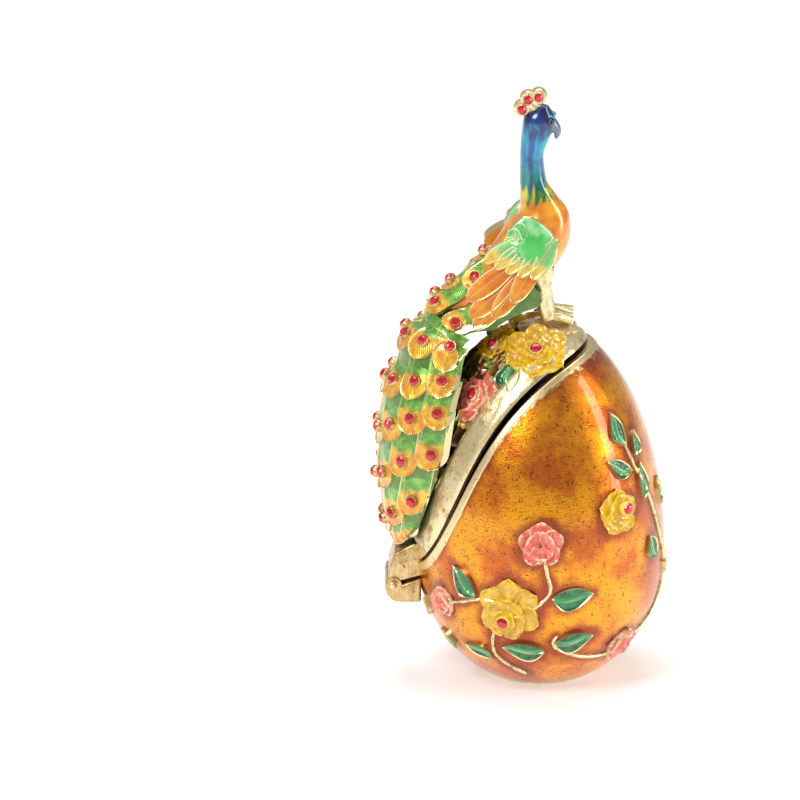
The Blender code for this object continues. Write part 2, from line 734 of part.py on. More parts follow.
def make_mantle():
    """Thick curved sheet that carries the train's feathers."""
    rings = []
    for place in range(len(TRAIN_STATIONS)):
        angles = [-90 + 180 * i / TRAIN_SIDES for i in range(TRAIN_SIDES + 1)]
        row = [train_point(place, angle) for angle in angles]
        ridge, centre, half = train_station(place)
        depth = (ridge - centre).length
        thick = min(TRAIN_WALL, depth * 0.6, half * 0.6)
        shrink = 1 - thick / depth
        narrow = 1 - thick / half
        inner = []
        for point in row:
            offset = point - centre
            inner.append(centre + Vector((offset.x * shrink, offset.y * narrow, offset.z * shrink)))
        rings.append(row + inner[::-1])
    return loft("mantle", rings)


def feather_rise(thickness, along):
    """Height of a feather's flat top, from its root to its tip."""
    return thickness * (FEATHER_ROOT_SHARE + (1 - FEATHER_ROOT_SHARE) * along)


def feather(name, frame, length, width, thickness, sink=FEATHER_SINK):
    """Scale feather: root at the origin, round tip, flat top rising towards the tip."""
    half = width / 2
    low = []
    top = []
    for along, across in FEATHER_OUTLINE:
        rise = feather_rise(thickness, along)
        low.append(frame @ Vector((length * along, half * across, -sink)))
        top.append(frame @ Vector((length * along, half * across, rise)))
    return loft(name, [low, top])


def feather_seat(frame, length, thickness):
    """Frame of a crystal on a feather's flat top."""
    rise = feather_rise(thickness, FEATHER_SEAT)
    tilt = Matrix.Rotation(-(1 - FEATHER_ROOT_SHARE) * thickness / length, 4, "Y")
    return frame @ Matrix.Translation((length * FEATHER_SEAT, 0, rise)) @ tilt


def train_feathers():
    """Frame, length and width of each feather on the train."""
    found = []
    for place, reach, spacing, bend in TRAIN_ROWS:
        small = place < UPPER_ROWS_END
        length = FEATHER_LENGTH * (UPPER_LENGTH_SHARE if small else 1)
        width = FEATHER_WIDTH * (UPPER_WIDTH_SHARE if small else 1)
        for i in range(1 + round(2 * reach / spacing)):
            angle = i * spacing - reach
            crystal = train_frame(place - bend * sin(radians(angle)) ** 2, angle)
            frame = crystal @ Matrix.Translation((-FEATHER_SEAT * length, 0, 0))
            found.append((frame, length, width))
    return found


def perch_point(x, height, y=0.0):
    """Point in hundredths of the bird's height above the egg's top."""
    unit = BIRD_HEIGHT / 100
    return Vector((x * unit, y * unit, EGG_HEIGHT + TOUCH_GAP + height * unit))


def swept(name, stations, sides):
    """Closed form through oval sections that stand square to its line."""
    unit = BIRD_HEIGHT / 100
    rings = []
    last = len(stations) - 1
    for k, (x, height, depth, half) in enumerate(stations):
        ahead = stations[min(k + 1, last)]
        behind = stations[max(k - 1, 0)]
        run = Vector((ahead[0] - behind[0], 0, ahead[1] - behind[1])).normalized()
        across = Vector((-run.z, 0, run.x))
        centre = perch_point(x, height)
        ring = []
        for i in range(sides):
            turn = 2 * pi * i / sides
            ring.append(centre + across * depth * unit * cos(turn)
                        + Vector((0, half * unit * sin(turn), 0)))
        rings.append(ring)
    return loft(name, rings)


def side_frame(side, x, height, y, heading):
    """Frame on the bird's flank, X along a heading measured down from straight back."""
    turn = radians(heading)
    along = Vector((-cos(turn), 0, -sin(turn)))
    return frame_from(perch_point(x, height, -side * y), Vector((0, -side, 0.12)), along)


# The shoulder of the wing, in hundredths of the bird's height and degrees
SHOULDER = {"x": -3.9, "height": 35.6, "side": 9.6, "depth": 10.6, "bulge": 4.6,
            "half_height": 13.4, "lean": -10}

# Rows of long feathers, in the same units: where the first starts, the step to the next one
QUILL_ROWS = {
    "primary": {"x": -7.0, "height": 37.0, "side": 10.0, "step_x": -0.4, "step_height": -3.4,
                "heading": 30, "turn": 4, "length": 25, "width": 6.4, "rise": 3.4, "sink": 3.0},
    "covert": {"x": -12.0, "height": 27.0, "side": 8.6, "step_x": 1.0, "step_height": -3.3,
               "heading": 44, "turn": 2, "length": 25, "width": 7.6, "rise": 3.2, "sink": 4.0},
}


def make_wings():
    unit = BIRD_HEIGHT / 100
    made = []
    for side in (1, -1):
        bm = bmesh.new()
        bmesh.ops.create_uvsphere(bm, u_segments=10, v_segments=6, radius=1)
        size = Vector((SHOULDER["depth"], SHOULDER["bulge"], SHOULDER["half_height"])) * unit
        lean = Matrix.Rotation(radians(SHOULDER["lean"]), 4, "Y")
        middle = perch_point(SHOULDER["x"], SHOULDER["height"], -side * SHOULDER["side"])
        place = Matrix.Translation(middle) @ lean @ Matrix.Diagonal((*size, 1))
        bmesh.ops.transform(bm, matrix=place, verts=bm.verts)
        made.append(new_mesh_object("shoulder_%d" % side, bm))
        for name, row in QUILL_ROWS.items():
            for i in range(PRIMARY_QUILLS if name == "primary" else COVERT_QUILLS):
                frame = side_frame(side, row["x"] + row["step_x"] * i,
                                   row["height"] + row["step_height"] * i, row["side"],
                                   row["heading"] + row["turn"] * i)
                made.append(feather("%s_%d_%d" % (name, side, i), frame, row["length"] * unit,
                                    row["width"] * unit, row["rise"] * unit, row["sink"] * unit))
    return made


# Legs and toes in hundredths of the bird's height: x and height along each
LEG_LINE = [(1.2, 25), (0.6, 17), (1.6, 9), (3.4, 2.2)]
TOE_LINE = [(2.6, 3.6), (8.0, 3.0), (13.2, 1.8)]
BACK_TOE_LINE = [(4.0, 3.4), (-2.6, 2.0)]
TOE_SPREADS = (-3.4, 0.4, 4.2)
TOE_RADIUS = 1.7


def make_legs():
    """Two stout legs with three toes forwards and one back on each."""
    unit = BIRD_HEIGHT / 100
    made = []
    for side in (1, -1):
        y = side * LEG_SPREAD / unit
        leg = [perch_point(x, height, y) for x, height in LEG_LINE]
        made.append(tube("leg_%d" % side, leg, LEG_RADIUS))
        for i, spread in enumerate(TOE_SPREADS):
            toe = [perch_point(x, height, y + spread * k / 2)
                   for k, (x, height) in enumerate(TOE_LINE)]
            made.append(tube("toe_%d_%d" % (side, i), toe, TOE_RADIUS * unit, 0))
        back = [perch_point(x, height, y) for x, height in BACK_TOE_LINE]
        made.append(tube("back_toe_%d" % side, back, TOE_RADIUS * unit, 0))
    return made


# Centres of the crest's lobes in hundredths of the bird's height
CREST_LOBES = [(-8.0, 91.9), (-5.4, 96.1), (-1.0, 97.2)]
CREST_STEM = [(0.4, 89), (-3.0, 92.4), (-4.4, 94.0)]
CREST_STEM_RADIUS = 2.6
LOBE_STEP = 0.02

# Beak sections like the body's
BEAK_STATIONS = [
    (1.6, 86.0, 4.2, 2.8),
    (4.6, 84.0, 3.0, 2.0),
    (6.5, 81.6, 1.7, 1.2),
    (6.2, 78.6, 0.8, 0.6),
]
BEAK_SIDES = 6


def crest_frame(x, height, lift=0.0):
    """Frame on a crest lobe, facing the front."""
    middle = perch_point(x, height) + Vector((0, -lift, 0))
    return frame_from(middle, Vector((0, -1, 0)), Vector((0, 0, 1)))


def make_head():
    """Beak, crest stem and the crest's three lobes."""
    unit = BIRD_HEIGHT / 100
    made = []
    made.append(swept("beak", BEAK_STATIONS, BEAK_SIDES))
    for i, (x, height) in enumerate(CREST_LOBES):
        bm = bmesh.new()
        bmesh.ops.create_cone(bm, cap_ends=True, segments=8, radius1=CREST_LOBE_RADIUS,
                              radius2=CREST_LOBE_RADIUS, depth=CREST_THICKNESS + LOBE_STEP * i)
        bmesh.ops.transform(bm, matrix=crest_frame(x, height), verts=bm.verts)
        made.append(new_mesh_object("crest_lobe_%d" % i, bm))
    stem = [perch_point(x, height) for x, height in CREST_STEM]
    made.append(tube("crest_stem", stem, CREST_STEM_RADIUS * unit))
    return made


def stone_space(name, seat):
    """Clear room over a feather's seat, so that no neighbour covers the stone."""
    bm = bmesh.new()
    height = CRYSTAL_HEIGHT + 2 * CRYSTAL_GAP
    reach = CRYSTAL_RADIUS + TOUCH_GAP
    bmesh.ops.create_cone(bm, cap_ends=True, segments=8, radius1=reach, radius2=reach,
                          depth=height)
    lift = Matrix.Translation((0, 0, CRYSTAL_GAP * 0.4 + height / 2))
    bmesh.ops.transform(bm, matrix=seat @ lift, verts=bm.verts)
    return new_mesh_object(name, bm)


def make_peacock():
    body = swept("peacock", BODY_STATIONS, BODY_SIDES)
    pieces = [make_mantle()] + make_wings() + make_legs() + make_head()
    for i, (frame, length, width) in enumerate(train_feathers()):
        pieces.append(feather("train_feather_%d" % i, frame, length, width, FEATHER_THICKNESS))
    combine(body, "UNION", pieces)
    cuts = [egg_solid("egg_clearance", -RIM_PROUD - TOUCH_GAP, EGG_SIDES, EGG_RINGS),
            lid_hinge_block("block_clearance", LID_BLOCK_WIDTH, 1.5 * TOUCH_GAP),
            upright_disc("pad_clearance", PAD_RADIUS + 2, EGG_HEIGHT - 2 * PAD_DEPTH,
                         EGG_HEIGHT + TOUCH_GAP, PAD_MIDDLE)]
    for i, (frame, length, _) in enumerate(train_feathers()):
        seat = feather_seat(frame, length, FEATHER_THICKNESS)
        cuts.append(stone_space("stone_space_%d" % i, seat))
    combine(body, "DIFFERENCE", cuts)
    tidy_facets(body, BIRD_FACET_SHARE)
    return body


def make_crystal(name, seat, radius=CRYSTAL_RADIUS):
    """Faceted round stone on a seat, a small gap above it."""
    bm = bmesh.new()
    bmesh.ops.create_cone(bm, cap_ends=True, segments=CRYSTAL_SIDES, radius1=radius,
                          radius2=radius * 0.55, depth=CRYSTAL_HEIGHT)
    lift = Matrix.Translation((0, 0, CRYSTAL_GAP + CRYSTAL_HEIGHT / 2))
    bmesh.ops.transform(bm, matrix=seat @ lift, verts=bm.verts)
    return new_mesh_object(name, bm)


def flower_seat(azimuth, share, lift, up=0.0, across=0.0):
    return egg_frame(azimuth, share, 0, lift) @ Matrix.Translation((up, across, FLOWER_RISE))


def make_crystals():
    base_stones = []
    lid_stones = []
    for name, (up, across) in BASE_STONES.items():
        azimuth, share = BASE_FLOWERS[name][:2]
        seat = flower_seat(azimuth, share, 0, up, across)
        base_stones.append(make_crystal("crystal_" + name, seat))
    for name, (azimuth, share, _) in LID_FLOWERS.items():
        for side, word in ((1, "front"), (-1, "back")):
            seat = flower_seat(side * azimuth, share, LID_RELIEF_LIFT)
            lid_stones.append(make_crystal("crystal_%s_%s" % (name, word), seat))
    for i, (x, height) in enumerate(CREST_LOBES):
        seat = crest_frame(x, height, CREST_THICKNESS / 2)
        stone = make_crystal("crystal_crest_%d" % (i + 1), seat, CREST_CRYSTAL_RADIUS)
        lid_stones.append(stone)
    for i, (frame, length, _) in enumerate(train_feathers()):
        seat = feather_seat(frame, length, FEATHER_THICKNESS)
        lid_stones.append(make_crystal("crystal_train_%02d" % (i + 1), seat))
    return base_stones, lid_stones


def make_material(name, colour, roughness, metallic):
    material = bpy.data.materials.new(name)
    material.use_nodes = True
    shader = material.node_tree.nodes["Principled BSDF"]
    shader.inputs["Base Color"].default_value = (*colour, 1)
    shader.inputs["Roughness"].default_value = roughness
    shader.inputs["Metallic"].default_value = metallic
    return material


def dress(piece, material):
    piece.data.materials.clear()
    piece.data.materials.append(material)
    piece.data.transform(Matrix.Scale(METRES, 4))
    piece.data.shade_smooth()
    piece.data.set_sharp_from_angle(angle=radians(35))


def main():
    for old in list(bpy.data.objects):
        bpy.data.objects.remove(old)
    base = make_base()
    lid = make_lid()
    pin = make_pin()
    peacock = make_peacock()
    base_stones, lid_stones = make_crystals()
    dress(base, make_material("amber_enamel", (0.72, 0.30, 0.03), 0.25, 0.6))
    dress(lid, make_material("antique_gold", (0.66, 0.52, 0.26), 0.35, 1.0))
    dress(pin, make_material("pin_brass", (0.55, 0.42, 0.20), 0.4, 1.0))
    dress(peacock, make_material("peacock_enamel", (0.12, 0.45, 0.25), 0.25, 0.4))
    for stone in base_stones + lid_stones:
        dress(stone, make_material("red_crystal_" + stone.name, (0.75, 0.06, 0.05), 0.05, 0.0))
    axis = bpy.data.objects.new("lid_hinge_axis", None)
    axis.location = HINGE * METRES
    bpy.context.scene.collection.objects.link(axis)
    for piece in [lid, peacock] + lid_stones:
        piece.data.transform(Matrix.Translation(-HINGE * METRES))
        piece.parent = axis


main()
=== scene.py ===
from functools import lru_cache
from math import atan2, cos, degrees, exp, hypot, pi, radians, sin, sqrt

import bmesh
import bpy
from mathutils import Matrix, Vector, kdtree, noise


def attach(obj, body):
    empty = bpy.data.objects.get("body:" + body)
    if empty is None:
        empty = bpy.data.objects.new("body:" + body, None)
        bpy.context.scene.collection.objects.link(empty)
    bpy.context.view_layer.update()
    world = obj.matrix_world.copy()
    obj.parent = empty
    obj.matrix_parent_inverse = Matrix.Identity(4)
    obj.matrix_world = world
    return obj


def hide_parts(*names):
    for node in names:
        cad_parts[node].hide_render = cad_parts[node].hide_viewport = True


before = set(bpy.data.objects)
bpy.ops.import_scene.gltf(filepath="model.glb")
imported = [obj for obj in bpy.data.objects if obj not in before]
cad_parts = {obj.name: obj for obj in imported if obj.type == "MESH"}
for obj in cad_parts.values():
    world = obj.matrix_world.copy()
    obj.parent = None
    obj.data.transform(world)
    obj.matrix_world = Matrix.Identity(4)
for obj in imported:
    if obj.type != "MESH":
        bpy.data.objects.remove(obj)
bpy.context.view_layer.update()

scene = bpy.context.scene
mm = 0.001  # shapes below are in millimetres until a piece is finished

# The egg, its hinge and its parting line, as the frame has them
egg = {"radius": 27.6, "widest": 28.4, "topRise": 52.5, "footRadius": 11.0, "wall": 2.0,
       "touchGap": 0.3, "ajar": 1.05, "bandWidth": 4.4, "bandProud": 0.5, "stripWidth": 1.3}
eggHeight = egg["widest"] + egg["topRise"]
bottomRise = egg["widest"] / sqrt(1 - (egg["footRadius"] / egg["radius"]) ** 2)
hinge = {"standoff": 5.0, "height": 21.5, "pinRadius": 0.8, "knuckle": 1.9, "lidKnuckle": 5.0,
         "ear": 4.0, "lidBlockRise": 7.4, "lidBlockWidth": 13.0, "baseDrop": 4.0}
hingePoint = Vector((-egg["radius"] - hinge["standoff"], 0, hinge["height"]))


def eggRadius(height):
    rise = egg["topRise"] if height > egg["widest"] else bottomRise
    share = (height - egg["widest"]) / rise
    return egg["radius"] * sqrt(max(0.0, 1 - share * share))


def ringPoint(azimuth, radius, height):  # azimuth runs from the hinge side round the front
    turn = radians(azimuth)
    return Vector((-cos(turn) * radius, -sin(turn) * radius, height))


def azimuthOf(point):
    return degrees(atan2(-point.y, -point.x))


def eggNormal(azimuth, height):
    rise = egg["topRise"] if height > egg["widest"] else bottomRise
    out = eggRadius(height) / egg["radius"] ** 2
    return ringPoint(azimuth, out, (height - egg["widest"]) / rise ** 2).normalized()


def eggPoint(azimuth, height, lift):
    return ringPoint(azimuth, eggRadius(height), height) + eggNormal(azimuth, height) * lift


def frameFrom(origin, normal, along):  # Z on the normal, X as near to along as it can be
    zAxis = normal.normalized()
    xAxis = (along - zAxis * along.dot(zAxis)).normalized()
    turn = Matrix((xAxis, zAxis.cross(xAxis), zAxis)).transposed().to_4x4()
    return Matrix.Translation(origin) @ turn


def eggFrame(azimuth, share, turn, lift=0.0):  # X turned clockwise from straight up
    height = share * eggHeight
    normal = eggNormal(azimuth, height)
    around = Vector((sin(radians(azimuth)), -cos(radians(azimuth)), 0))
    upward = around.cross(normal)
    if upward.z < 0:
        upward.negate()
    along = upward * cos(radians(turn)) + around * sin(radians(turn))
    return frameFrom(eggPoint(azimuth, height, lift), normal, along)


def smoothBetween(rows, place):  # Catmull-Rom value at a place counted in rows
    last = len(rows) - 1
    index = min(max(int(place), 0), last - 1)
    t = place - index
    near = [rows[max(index - 1, 0)], rows[index], rows[index + 1], rows[min(index + 2, last)]]
    found = []
    for a, b, c, d in zip(*near):
        curve = (2 * a - 5 * b + 4 * c - d) * t * t + (3 * b - 3 * c + d - a) * t ** 3
        found.append(0.5 * (2 * b + (c - a) * t + curve))
    return found


def smoothPath(points, steps):
    last = len(points) - 1
    return [smoothBetween(points, last * i / steps) for i in range(steps + 1)]


def ease(value, low, high):
    t = min(1.0, max(0.0, (value - low) / (high - low)))
    return t * t * (3 - 2 * t)


# The parting line's handles beyond the hinge, in egg radii across and egg heights up
seamSpots = [(-0.647, 0.358), (-0.685, 0.840), (0.449, 0.947)]
seamHandles = [hingePoint] + [Vector((x * egg["radius"], 0, share * eggHeight)) for x, share in seamSpots]


def seamPlace(t, shift, ajar):  # parting line seen from the front, moved sideways and opened
    a, b, c, d = seamHandles
    u = 1 - t
    point = a * u ** 3 + b * 3 * u * u * t + c * 3 * u * t * t + d * t ** 3
    run = ((b - a) * u * u + (c - b) * 2 * u * t + (d - c) * t * t).normalized()
    point = point + Vector((-run.z, 0, run.x)) * shift
    return hingePoint + Matrix.Rotation(-radians(ajar), 3, "Y") @ (point - hingePoint)


@lru_cache(maxsize=None)
def seamHeight(azimuth, shift, ajar):  # where that line crosses the egg at an azimuth
    low, high = 0.0, 1.1
    for _ in range(22):
        middle = (low + high) / 2
        point = seamPlace(middle, shift, ajar)
        if point.x < -cos(radians(azimuth)) * eggRadius(point.z):
            low = middle
        else:
            high = middle
    return seamPlace(low, shift, ajar).z


# Shader graphs: a Wire is a node's socket with the sums that the finishes use
class Wire:
    def __init__(self, paint, socket):
        self.paint = paint
        self.socket = socket

    def maths(self, operation, first, second):
        return self.paint.node("Math", {"operation": operation}, {0: first, 1: second})

    def __add__(self, other):
        return self.maths("ADD", self, other)

    def __radd__(self, other):
        return self.maths("ADD", other, self)

    def __sub__(self, other):
        return self.maths("SUBTRACT", self, other)

    def __rsub__(self, other):
        return self.maths("SUBTRACT", other, self)

    def __mul__(self, other):
        return self.maths("MULTIPLY", self, other)

    def __rmul__(self, other):
        return self.maths("MULTIPLY", other, self)


class Paint:
    def __init__(self, name):
        self.material = bpy.data.materials.new(name)
        self.material.use_nodes = True
        self.tree = self.material.node_tree
        self.shader = self.tree.nodes["Principled BSDF"]
        # object coordinates in millimetres
        spot = self.node("TexCoord", out=3)
        self.spot = self.node("VectorMath", {"operation": "SCALE"}, {0: spot, "Scale": 1 / mm})

    def node(self, kind, settings=None, values=None, out=0):
        made = self.tree.nodes.new("ShaderNode" + kind)
        for key, value in (settings or {}).items():
            setattr(made, key, value)
        self.fill(made, values or {})
        return Wire(self, made.outputs[out])

    def fill(self, made, values):
        for key, value in values.items():
            if isinstance(value, Wire):
                self.tree.links.new(value.socket, made.inputs[key])
            else:
                made.inputs[key].default_value = value

    def mark(self, name):  # an attribute painted on the piece's points
        return self.node("Attribute", {"attribute_name": name}, out=2)

    def stretch(self, scale, turn=(0, 0, 0)):
        return self.node("Mapping", {}, {"Vector": self.spot, "Rotation": turn, "Scale": scale})

    def cloud(self, size, detail=3.0, rough=0.6, place=None):  # noise with features of that size in mm
        return self.node("TexNoise", {}, {"Vector": place or self.spot, "Scale": 1 / size,
                                          "Detail": detail, "Roughness": rough})

    def step(self, value, low, high):
        return self.node("MapRange", {"interpolation_type": "SMOOTHSTEP"},
                         {"Value": value, "From Min": low, "From Max": high, "To Min": 0.0, "To Max": 1.0})

    def mix(self, factor, first, second):
        return self.node("Mix", {"data_type": "RGBA"}, {0: factor, 6: first, 7: second}, 2)

    def blend(self, value, low, high, first, second):  # from one colour to the other as value goes up
        return self.mix(self.step(value, low, high), first, second)

    def bump(self, height, distance, strength):
        return self.node("Bump", {}, {"Height": height, "Distance": distance * mm, "Strength": strength})

    def finish(self, values):
        self.fill(self.shader, values)
        return self.material


def tone(red, green, blue):  # screen colour in 0-255 to a linear one
    parts = []
    for value in (red, green, blue):
        share = value / 255
        parts.append(share / 12.92 if share <= 0.04045 else ((share + 0.055) / 1.055) ** 2.4)
    return (*parts, 1.0)


goldTone = tone(240, 220, 168)
patinaTone = tone(92, 66, 28)


def goldLine(paint, mask, colour, roughness, metallic, coat=1.0):
    # enamel outside the mask and bare polished gold inside it
    return {"Base Color": paint.mix(mask, colour, goldTone),
            "Roughness": roughness * (1 - mask) + 0.28 * mask,
            "Metallic": metallic * (1 - mask) + mask,
            "Coat Weight": coat * (1 - mask), "Coat Roughness": 0.03}


def goldCell(paint, colour, rim, rib, roughness, metallic):
    # enamel with gold at its rim and, where a rib is given, along its middle
    mask = paint.step(paint.mark("rim"), *rim)
    if rib:
        mask = mask + paint.step(paint.mark("middle"), *rib) * (1 - mask)
    return paint.finish(goldLine(paint, mask, colour, roughness, metallic))


def makeAmber():
    paint = Paint("amberEnamel")
    fine = paint.cloud(0.42, 3.0, 0.7)
    mottle = paint.cloud(1.3, 4.0, 0.65)
    broad = paint.cloud(11.0)
    brushed = paint.cloud(1.1, 4.0, 0.7, paint.stretch((0.5, 3.0, 3.0), (0.3, 0.5, 0.9)))
    # darker red-brown round the relief and towards the rim: partly pooled enamel, partly painted shade
    poolAndShade = paint.step(paint.mark("halo") + (broad - 0.5) * 3.4 + (mottle - 0.5) * 1.8, 2.9, 0.5)
    colour = paint.blend(broad + (brushed - 0.5) * 0.35, 0.38, 0.64, tone(206, 98, 2), tone(250, 164, 10))
    colour = paint.mix(poolAndShade * 0.9, colour, tone(150, 50, 12))
    colour = paint.mix(paint.step(brushed, 0.56, 0.72) * 0.45, colour, tone(120, 50, 6))
    speck = paint.step(fine + (mottle - 0.5) * 0.6, 0.57, 0.66)
    colour = paint.mix(speck * 0.85, colour, tone(84, 30, 4))
    wave = paint.cloud(1.8, 3.0, 0.5)
    gold = paint.step(paint.mark("band") + (wave - 0.5) * 0.05, 0.992, 1.004)
    foot = paint.step(paint.mark("height") + (wave - 0.5) * 1.8, 1.1, 0.6)
    mask = gold + foot - gold * foot
    patina = paint.step(paint.cloud(0.9), 0.62, 0.72)
    values = goldLine(paint, mask, colour, 0.24, 0.78, 0.6)
    values["Base Color"] = paint.mix(patina * mask * 0.7, values["Base Color"], patinaTone)
    values["Normal"] = paint.bump(fine * 0.3 + brushed + mottle * 0.6, 0.10, 0.55)
    return paint.finish(values)


def makeMaroon():
    # the inside walls coloured very dark maroon
    paint = Paint("darkMaroonInside")
    colour = paint.blend(paint.cloud(3.0, 3.0, 0.5), 0.4, 0.7, tone(84, 14, 12), tone(44, 8, 8))
    return paint.finish({"Base Color": colour, "Roughness": 0.35, "Metallic": 0.2, "Coat Weight": 0.6})


def makeGold(name, light, wear):
    paint = Paint(name)
    pits = paint.step(paint.cloud(0.75, 2.0, 0.5), 0.66, 0.72)
    stain = paint.step(paint.cloud(2.4, 4.0, 0.65), 0.48, 0.72)
    scratch = paint.cloud(0.8, place=paint.stretch((3.0, 0.8, 0.5), (0.0, 0.8, 0.0)))
    colour = paint.mix(paint.step(scratch, 0.4, 0.7) * 0.35, light, tone(252, 240, 206))
    colour = paint.mix(stain * 0.72 * wear, colour, tone(140, 98, 44))
    colour = paint.mix(pits * 0.9 * wear, colour, patinaTone)
    relief = paint.bump(scratch * 0.6 + paint.cloud(1.1) - pits * 0.6, 0.14, 0.6)
    return paint.finish({"Base Color": colour, "Roughness": 0.30 + 0.25 * stain, "Metallic": 0.92,
                         "Normal": relief})


def makeLeafGreen():
    paint = Paint("emeraldEnamel")
    cloud = paint.cloud(1.5)
    colour = paint.blend(cloud, 0.36, 0.62, tone(4, 58, 34), tone(22, 128, 66))
    # painted highlight: lighter green along the midrib
    glow = paint.step(paint.mark("middle") + (cloud - 0.5), 0.9, 0.3)
    colour = paint.mix(glow * 0.6, colour, tone(96, 206, 132))
    return goldCell(paint, colour, (0.28, 0.17), (0.11, 0.05), 0.2, 0.35)


def makePetal(name, deep, light, edge, edgeWidth):
    paint = Paint(name)
    cloud = paint.cloud(2.0)
    colour = paint.blend(cloud, 0.36, 0.68, deep, light)
    mask = paint.step(paint.mark("rim") + (cloud - 0.5) * edgeWidth, edgeWidth, edgeWidth * 0.4)
    colour = paint.mix(mask * 0.85, colour, edge)
    return paint.finish({"Base Color": colour, "Roughness": 0.28, "Metallic": 0.0, "Coat Weight": 0.9,
                         "Coat Roughness": 0.04, "Normal": paint.bump(cloud, 0.08, 0.5)})


def makeTrainEnamel():
    paint = Paint("trainEnamel")
    cloud = paint.cloud(2.0)
    fine = paint.cloud(0.6, 2.0)
    yellow = paint.blend(cloud + (fine - 0.5) * 0.4, 0.35, 0.66, tone(230, 140, 12), tone(250, 196, 54))
    green = paint.blend(cloud, 0.35, 0.66, tone(58, 138, 38), tone(124, 192, 72))
    colour = paint.blend(paint.mark("along") + (cloud - 0.5) * 0.22, 0.56, 0.68, green, yellow)
    barb = paint.node("Math", {"operation": "SINE"}, {0: paint.mark("place") * 7.5 + cloud * 3.0})
    colour = paint.mix(paint.step(barb, 0.72, 0.98) * 0.34, colour, tone(250, 222, 130))
    mask = paint.step(paint.mark("rim"), 0.22, 0.11)
    values = goldLine(paint, mask, colour, 0.24, 0.35)
    values["Normal"] = paint.bump(barb * (1 - mask), 0.05, 0.5)
    return paint.finish(values)


def makeBirdEnamel():
    paint = Paint("birdEnamel")
    cloud = paint.cloud(2.2, 2.0, 0.5, paint.stretch((2.0, 2.0, 0.32)))
    soft = paint.cloud(3.4, 2.0, 0.5)
    height = paint.mark("place") + (cloud - 0.5) * 2.2  # counted in body sections from the crown
    orange = paint.blend(soft, 0.35, 0.7, tone(234, 126, 12), tone(250, 174, 40))
    flame = paint.blend(cloud, 0.4, 0.62, tone(34, 120, 52), tone(206, 196, 48))
    teal = paint.blend(cloud, 0.38, 0.66, tone(8, 92, 104), tone(20, 140, 130))
    blue = paint.blend(soft, 0.32, 0.68, tone(4, 92, 146), tone(16, 156, 186))
    navy = paint.blend(soft, 0.4, 0.65, tone(14, 22, 84), tone(22, 62, 136))
    streak = paint.step(paint.mark("middle") + (cloud - 0.5) * 0.5, 0.34, 0.12)
    blue = paint.mix(streak * 0.85, blue, navy)
    colour = navy
    for low, high, below in ((1.2, 2.0, blue), (3.4, 4.5, teal), (4.7, 5.2, flame), (5.5, 6.0, orange)):
        colour = paint.blend(height, low, high, colour, below)
    return paint.finish({"Base Color": colour, "Roughness": 0.22, "Metallic": 0.3, "Coat Weight": 1.0,
                         "Coat Roughness": 0.03, "Normal": paint.bump(cloud, 0.05, 0.3)})


def makeWingEnamel():
    paint = Paint("wingEnamel")
    cloud = paint.cloud(2.2)
    colour = paint.blend(cloud, 0.36, 0.66, tone(88, 196, 104), tone(158, 226, 158))
    middle = paint.step(paint.mark("middle") + (cloud - 0.5) * 0.5, 0.80, 0.30)
    colour = paint.mix(middle * 0.9, colour, tone(40, 178, 56))
    return goldCell(paint, colour, (0.26, 0.12), None, 0.22, 0.15)


def makeQuill(name, root, deep, light):
    paint = Paint(name)
    cloud = paint.cloud(2.0)
    along = paint.mark("along")
    colour = paint.blend(cloud + along * 0.2, 0.40, 0.75, deep, light)
    colour = paint.blend(along + (cloud - 0.5) * 0.3, 0.76, 0.52, colour, root)
    return goldCell(paint, colour, (0.26, 0.13), (0.10, 0.05), 0.25, 0.3)


def makeCrystal():
    paint = Paint("redCrystal")
    return paint.finish({"Base Color": tone(206, 22, 36), "Roughness": 0.09, "Metallic": 0.55,
                         "Coat Weight": 1.0, "Coat Roughness": 0.02})


def makePlain(name, colour, roughness, metallic):
    paint = Paint(name)
    dark = tuple(0.7 * part for part in colour[:3]) + (1.0,)
    return paint.finish({"Base Color": paint.blend(paint.cloud(1.5, 3.0, 0.5), 0.35, 0.7, dark, colour),
                         "Roughness": roughness, "Metallic": metallic, "Coat Weight": 1.0})


amber = makeAmber()
maroon = makeMaroon()
gold = makeGold("antiqueGold", goldTone, 1.0)
darkGold = makeGold("darkGold", tone(206, 172, 112), 1.2)
# painted shade: a dark brown copy of the gold, for the lid rim's inside faces and the moss lumps
paintedShadeGold = makeGold("paintedShadeGold", tone(124, 78, 42), 1.2)
leafGreen = makeLeafGreen()
yellowPetal = makePetal("mustardEnamel", tone(212, 156, 2), tone(242, 200, 26), tone(252, 226, 96), 0.30)
coralPetal = makePetal("coralEnamel", tone(222, 78, 66), tone(242, 136, 116), tone(252, 226, 184), 0.50)
mantleGreen = makePlain("mantleEnamel", tone(96, 140, 44), 0.3, 0.3)
trainEnamel = makeTrainEnamel()
birdEnamel = makeBirdEnamel()
wingEnamel = makeWingEnamel()
yellowQuill = makeQuill("yellowQuill", tone(132, 206, 122), tone(230, 164, 30), tone(250, 216, 96))
orangeQuill = makeQuill("orangeQuill", tone(226, 120, 16), tone(220, 108, 12), tone(242, 158, 36))
crystalRed = makeCrystal()
beakTone = makePlain("beakEnamel", tone(112, 130, 156), 0.25, 0.3)
browBlue = makePlain("browEnamel", tone(24, 168, 206), 0.25, 0.3)
eyeBlack = makePlain("eyeBead", tone(20, 16, 16), 0.1, 0.0)
print("finishes ready")


# What a piece belongs to: its body, its slot and the solid that it replaces
onBase = ("root", "amber_enamel", "egg_base")
onLid = ("lid", "antique_gold", "lid_frame")
onBird = ("lid", "peacock_enamel", "peacock")
onPin = ("root", "hinge_brass", "hinge_pin")


